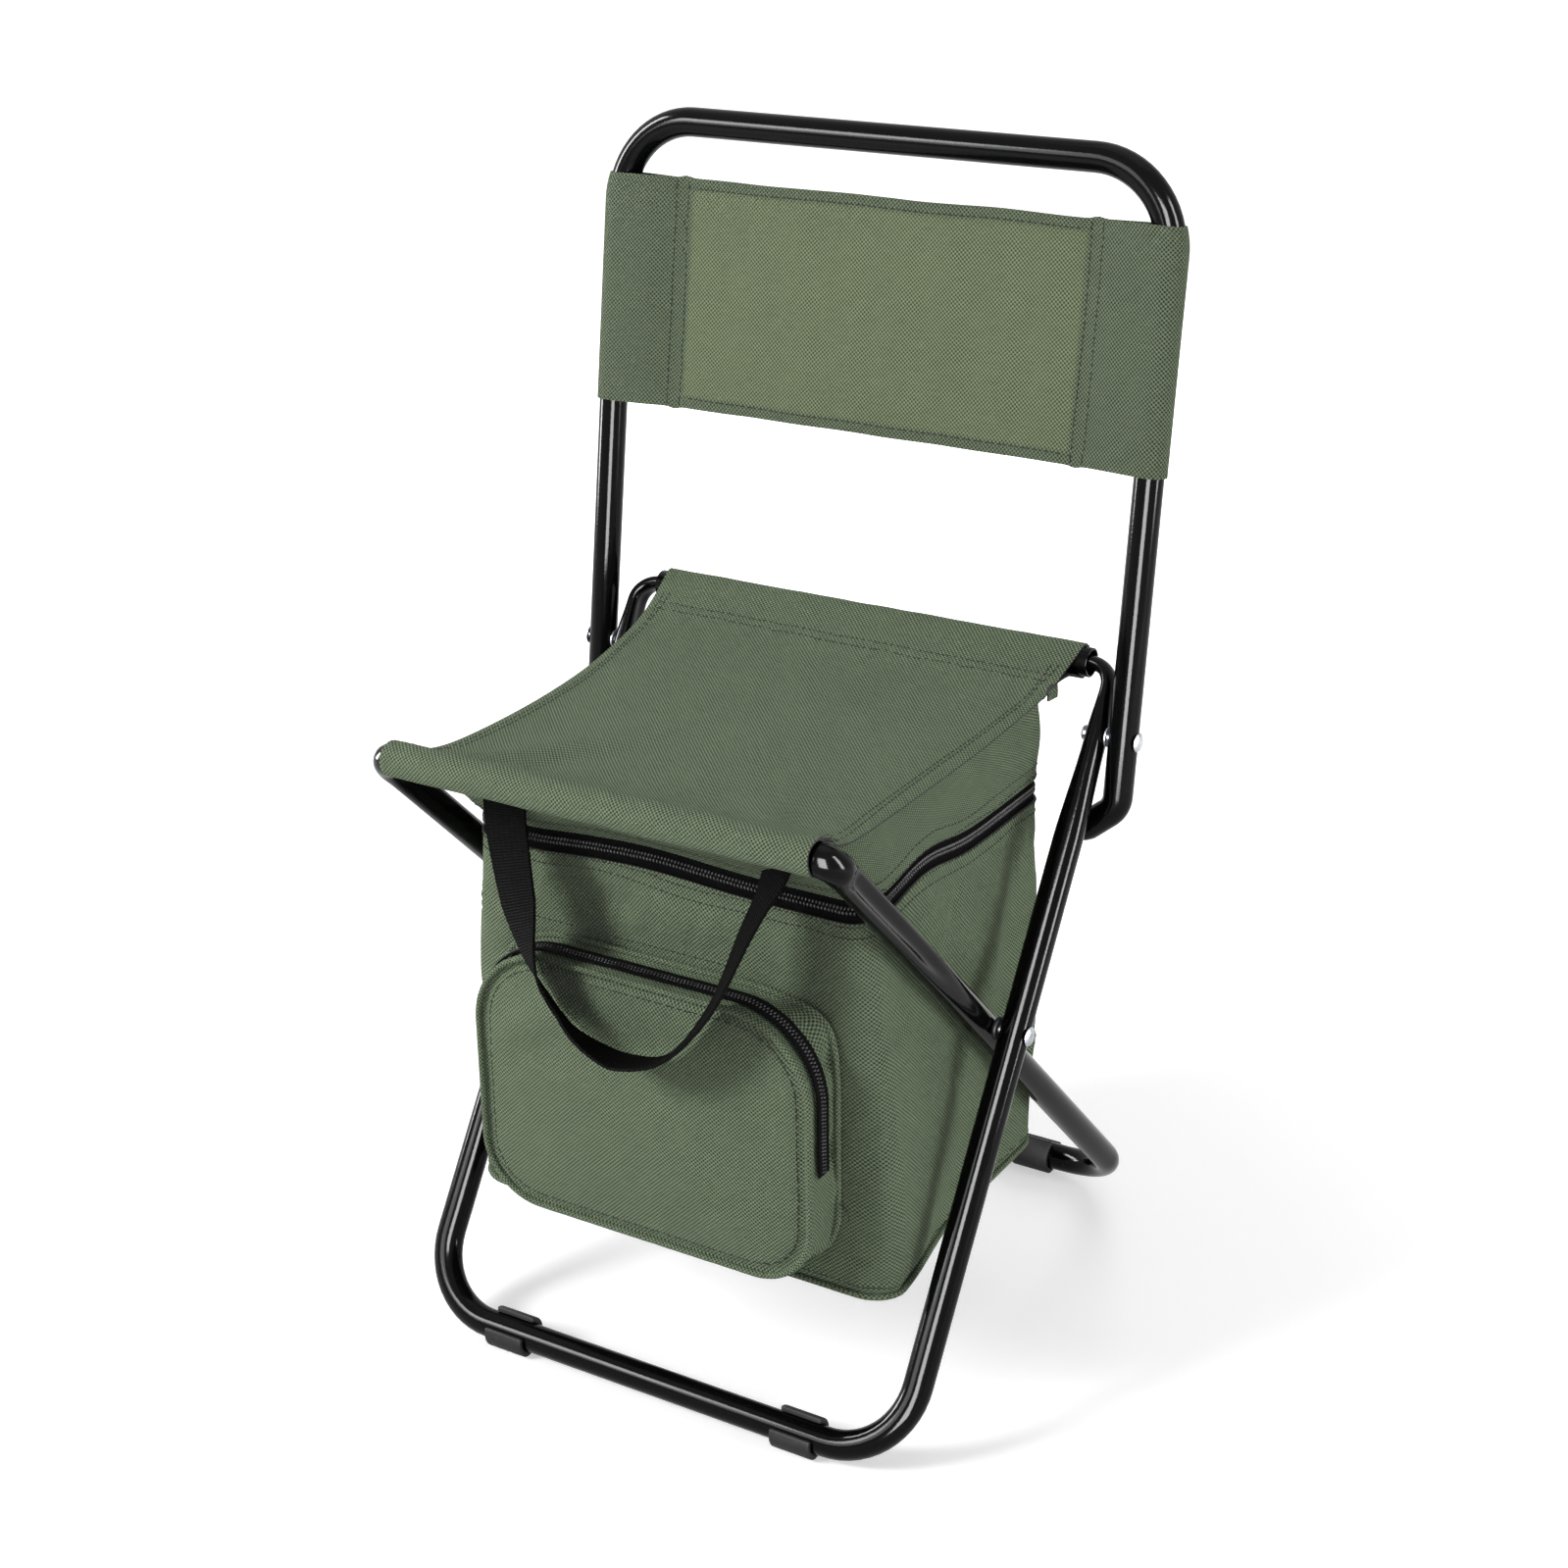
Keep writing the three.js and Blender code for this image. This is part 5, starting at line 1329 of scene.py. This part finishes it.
def strap_point(u, v):
    """A point across the strap, whose width turns along it as strap_turns lists by share of its length."""
    step = round(v * strap_rows)
    ahead = (strap_path[min(step + 1, strap_rows)] - strap_path[max(step - 1, 0)]).normalized()
    for (start, first), (end, second) in zip(strap_turns, strap_turns[1:]):
        if v <= end:
            break
    across = Vector(first).lerp(Vector(second), (v - start) / (end - start))
    face = ahead.cross(across).normalized()
    wide = face.cross(ahead).normalized()
    bow = 0.7 * mm * (1 - (2 * u - 1) ** 2) * math.sin(math.pi * v)
    return strap_path[step] + wide * (u - 0.5) * strap_width + face * bow


strap_bm = lay_sheet(14, strap_rows, strap_point, (strap_width, strap_length))
strap = make_cloth(strap_bm, "webbing_strap", webbing, wall=strap_wall, sharp=60)
hang_in_bag(strap, "carry_handle", "black_webbing", "carry_strap")

# Stitching of the bag. The same thread as on the seat: two rows on each side of the main zip, one seam
# across the front above the pocket, a row inside the pocket's piping and a row round the bag above its floor.
first_row, second_row = 2.2 * mm, 7 * mm
floor_row = 4 * mm
front_seam_z = 258 * mm


def bag_row(z, sway=1):
    spots = [around_bag(bag_girth * step / 120) for step in range(121)]
    return [Vector((*(place + out * 12 * mm), z + sway * zip_sway(place))) for place, out in spots]


def pocket_row(inset):
    spots = [around_pocket(pocket_girth * step / 80) for step in range(81)]
    return [Vector((place.x - out.x * inset, -160 * mm, place.y - out.y * inset)) for place, out in spots]


shell_seams = sew("bag_stitches", shell, [
    bag_row(shell_top - first_row), bag_row(shell_top - second_row, 0.9),
    bag_row(shell_bottom + floor_row, 0),
    [Vector((step * 14 * mm, -135 * mm, front_seam_z)) for step in range(-6, 4)],
])
skirt_seams = sew("skirt_stitches", skirt, [bag_row(skirt_low + first_row), bag_row(skirt_low + second_row)])
panel_seams = sew("pocket_stitches", panel, [pocket_row(3.6 * mm)])
for piece, body in ((shell_seams, "cooler_tub"), (skirt_seams, "bag_top"), (panel_seams, "cooler_tub")):
    hang_in_bag(piece, body, "green_canvas")

# Loose ends. The front sleeve has frayed at its right end, a thread hangs from the seam of the pocket, and a
# tab of canvas shows under the rear sleeve.
loose_thread = matte_black("loose_thread", (0.006, 0.006, 0.006), 0.7, 1500)
fray_start = Vector((120.5, front_rail.y / mm + 2, 366.4))
fray_step = Vector((0, 1.1, -0.55))
fray_radius, thread_radius = 0.28 * mm, 0.2 * mm
thread_line = [(104, -123, 143), (106, -123.6, 140), (108.6, -124.4, 140.6), (110.4, -125, 138.2),
               (111.6, -125.6, 134.6)]
tab_from_rail, tab_width = 24 * mm, 9 * mm
tab_inset, tab_drop = 4 * mm, 6 * mm


def strand(bm, points, radius):
    """Adds a thin thread through points in millimetres, as eight short rods that overlap."""
    path, _ = even_path([Vector(point) * mm for point in points], 8)
    for start, end in zip(path, path[1:]):
        lie = (end - start).to_track_quat("Z", "Y").to_matrix().to_4x4()
        bmesh.ops.create_cone(bm, cap_ends=True, segments=6, radius1=radius, radius2=radius,
                              depth=(end - start).length * 1.15,
                              matrix=Matrix.Translation((start + end) / 2) @ lie)


tuft_bm = bmesh.new()
for step in range(11):
    lift, reach = 3.4 * noise.noise((step * 1.7, 0, 0)), 4.5 * noise.noise((0, step * 1.3, 4))
    root = fray_start + fray_step * step
    bends = [(0, 0, 0), (2.2, 0.6, 0.6 + lift * 0.4), (4.4 + reach * 0.4, 1.5, 0.9 + lift),
             (5.4 + reach, 3.2 + reach, 0.2 + lift * 1.4)]
    strand(tuft_bm, [root + Vector(bend) for bend in bends], fray_radius)
tuft = make_piece(tuft_bm, "frayed_sleeve_end", loose_thread, sharp=180)
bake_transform(tuft)

thread_bm = bmesh.new()
strand(thread_bm, thread_line, thread_radius)
thread_end = make_piece(thread_bm, "pocket_thread_end", thread, sharp=180)
hang_in_bag(thread_end, "cooler_tub", "green_canvas")


def tab_point(u, v):
    y = rear_rail.y - tab_from_rail - tab_width * u
    half = seat_half_width(y)
    top = under_seat(half - tab_inset, y) + 2 * mm
    low = under_seat(half - tab_inset, rear_rail.y - 30 * mm) - tab_drop
    return Vector((half - 1.2 * mm + 0.8 * mm * math.sin(2.2 * v), y, top + (low - top) * v))


tab_bm = lay_sheet(6, 8, tab_point, (11 * mm, tab_width))
tab = make_cloth(tab_bm, "binding_tab", green, black_coating, sharp=60)
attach(tab, "front_frame")

# Studio. A pale floor, seen white away from the object. A soft key light over the front left, a light
# overhead and two fills light the cloth. A box and three strips, seen in gloss only, draw the highlights on
# the tubes. The camera stands where the photograph was taken from.
floor_bm = bmesh.new()
bmesh.ops.create_grid(floor_bm, x_segments=1, y_segments=1, size=6)
floor_paint, floor_tree, floor_bsdf = shader("studio_floor")
for name, level in [("Roughness", 0.9), ("Specular IOR Level", 0), ("Base Color", (0.85, 0.85, 0.85, 1)),
                    ("Emission Color", (1, 1, 1, 1))]:
    floor_bsdf.inputs[name].default_value = level


def seen_share(tree):
    """1 for what the camera sees, straight or in gloss or glass, and 0 for light that falls on the object."""
    ray = wire(tree, "ShaderNodeLightPath", {}).outputs
    straight = reckon(tree, "MAXIMUM", ray["Is Camera Ray"], ray["Is Glossy Ray"])
    return reckon(tree, "MAXIMUM", straight, ray["Is Transmission Ray"])


far = wire(floor_tree, "ShaderNodeVectorMath", {0: on_piece(floor_tree)}, operation="LENGTH").outputs["Value"]
glow = reckon(floor_tree, "MULTIPLY", seen_share(floor_tree), spread(floor_tree, far, (0.3, 1.4), (0.45, 1)))
floor_tree.links.new(glow, floor_bsdf.inputs["Emission Strength"])
studio_floor = make_piece(floor_bm, "studio_floor", floor_paint)

world = bpy.data.worlds.new("studio")
bpy.context.scene.world = world
world.use_nodes = True
sky = world.node_tree
sky.links.new(spread(sky, seen_share(sky), (0, 1), (0.26, 1)), sky.nodes["Background"].inputs["Strength"])
sky.nodes["Background"].inputs["Color"].default_value = (1, 1, 1, 1)

for name, spot, aim, width, height, power, serves in [
    ("key", (-1.4, -1.9, 1.6), (0, 0, 0.3), 0.7, 0.7, 57, "all"),
    ("fill", (2.1, -0.1, 0.6), (0, 0, 0.25), 1.0, 1.0, 19, "diffuse"),
    ("overhead", (0.1, 0.3, 2.2), (0, 0, 0.3), 1.2, 1.2, 3, "all"),
    ("rear_fill", (-0.5, 2.2, 1.2), (0, 0, 0.3), 1.2, 1.2, 22, "diffuse"),
    ("front_strip", (0.85, -1.75, 0.9), (0, 0, 0.9), 0.85, 1.8, 330, "gloss"),
    ("left_box", (-1.0, -2.0, 1.3), (0, 0, 0.5), 1.4, 1.0, 55, "gloss"),
    ("right_strip", (1.5, 0.1, 0.9), (0, 0, 0.35), 0.34, 1.5, 90, "gloss"),
    ("left_strip", (-1.5, -0.3, 0.9), (0, 0, 0.35), 0.34, 1.5, 90, "gloss"),
]:
    lamp = bpy.data.lights.new(name, "AREA")
    lamp.shape = "RECTANGLE"
    lamp.size, lamp.size_y = width, height
    lamp.energy = power
    turn = (Vector(spot) - Vector(aim)).to_track_quat("Z", "Y")
    holder = bpy.data.objects.new(name, lamp)
    holder.matrix_world = Matrix.Translation(spot) @ turn.to_matrix().to_4x4()
    holder.visible_diffuse = serves != "gloss"
    holder.visible_glossy = serves != "diffuse"
    holder.visible_camera = False
    bpy.context.scene.collection.objects.link(holder)

camera_spot = (0.7012, -1.147, 0.8744)
yaw, pitch, roll = math.radians(31.43), math.radians(-22.95), math.radians(-0.9)
view_ahead = Vector((-math.sin(yaw) * math.cos(pitch), math.cos(yaw) * math.cos(pitch), math.sin(pitch)))
view_right = Vector((math.cos(yaw), math.sin(yaw), 0))
view_up = view_right.cross(view_ahead)
camera = bpy.data.objects.new("camera", bpy.data.cameras.new("camera"))
camera.data.sensor_width = 36
camera.data.lens = 62.3
turned = Matrix((math.cos(roll) * view_right + math.sin(roll) * view_up,
                 math.cos(roll) * view_up - math.sin(roll) * view_right, -view_ahead))
camera.matrix_world = Matrix.Translation(camera_spot) @ turned.transposed().to_4x4()
bpy.context.scene.collection.objects.link(camera)
bpy.context.scene.camera = camera
bpy.context.scene.view_settings.view_transform = "Standard"
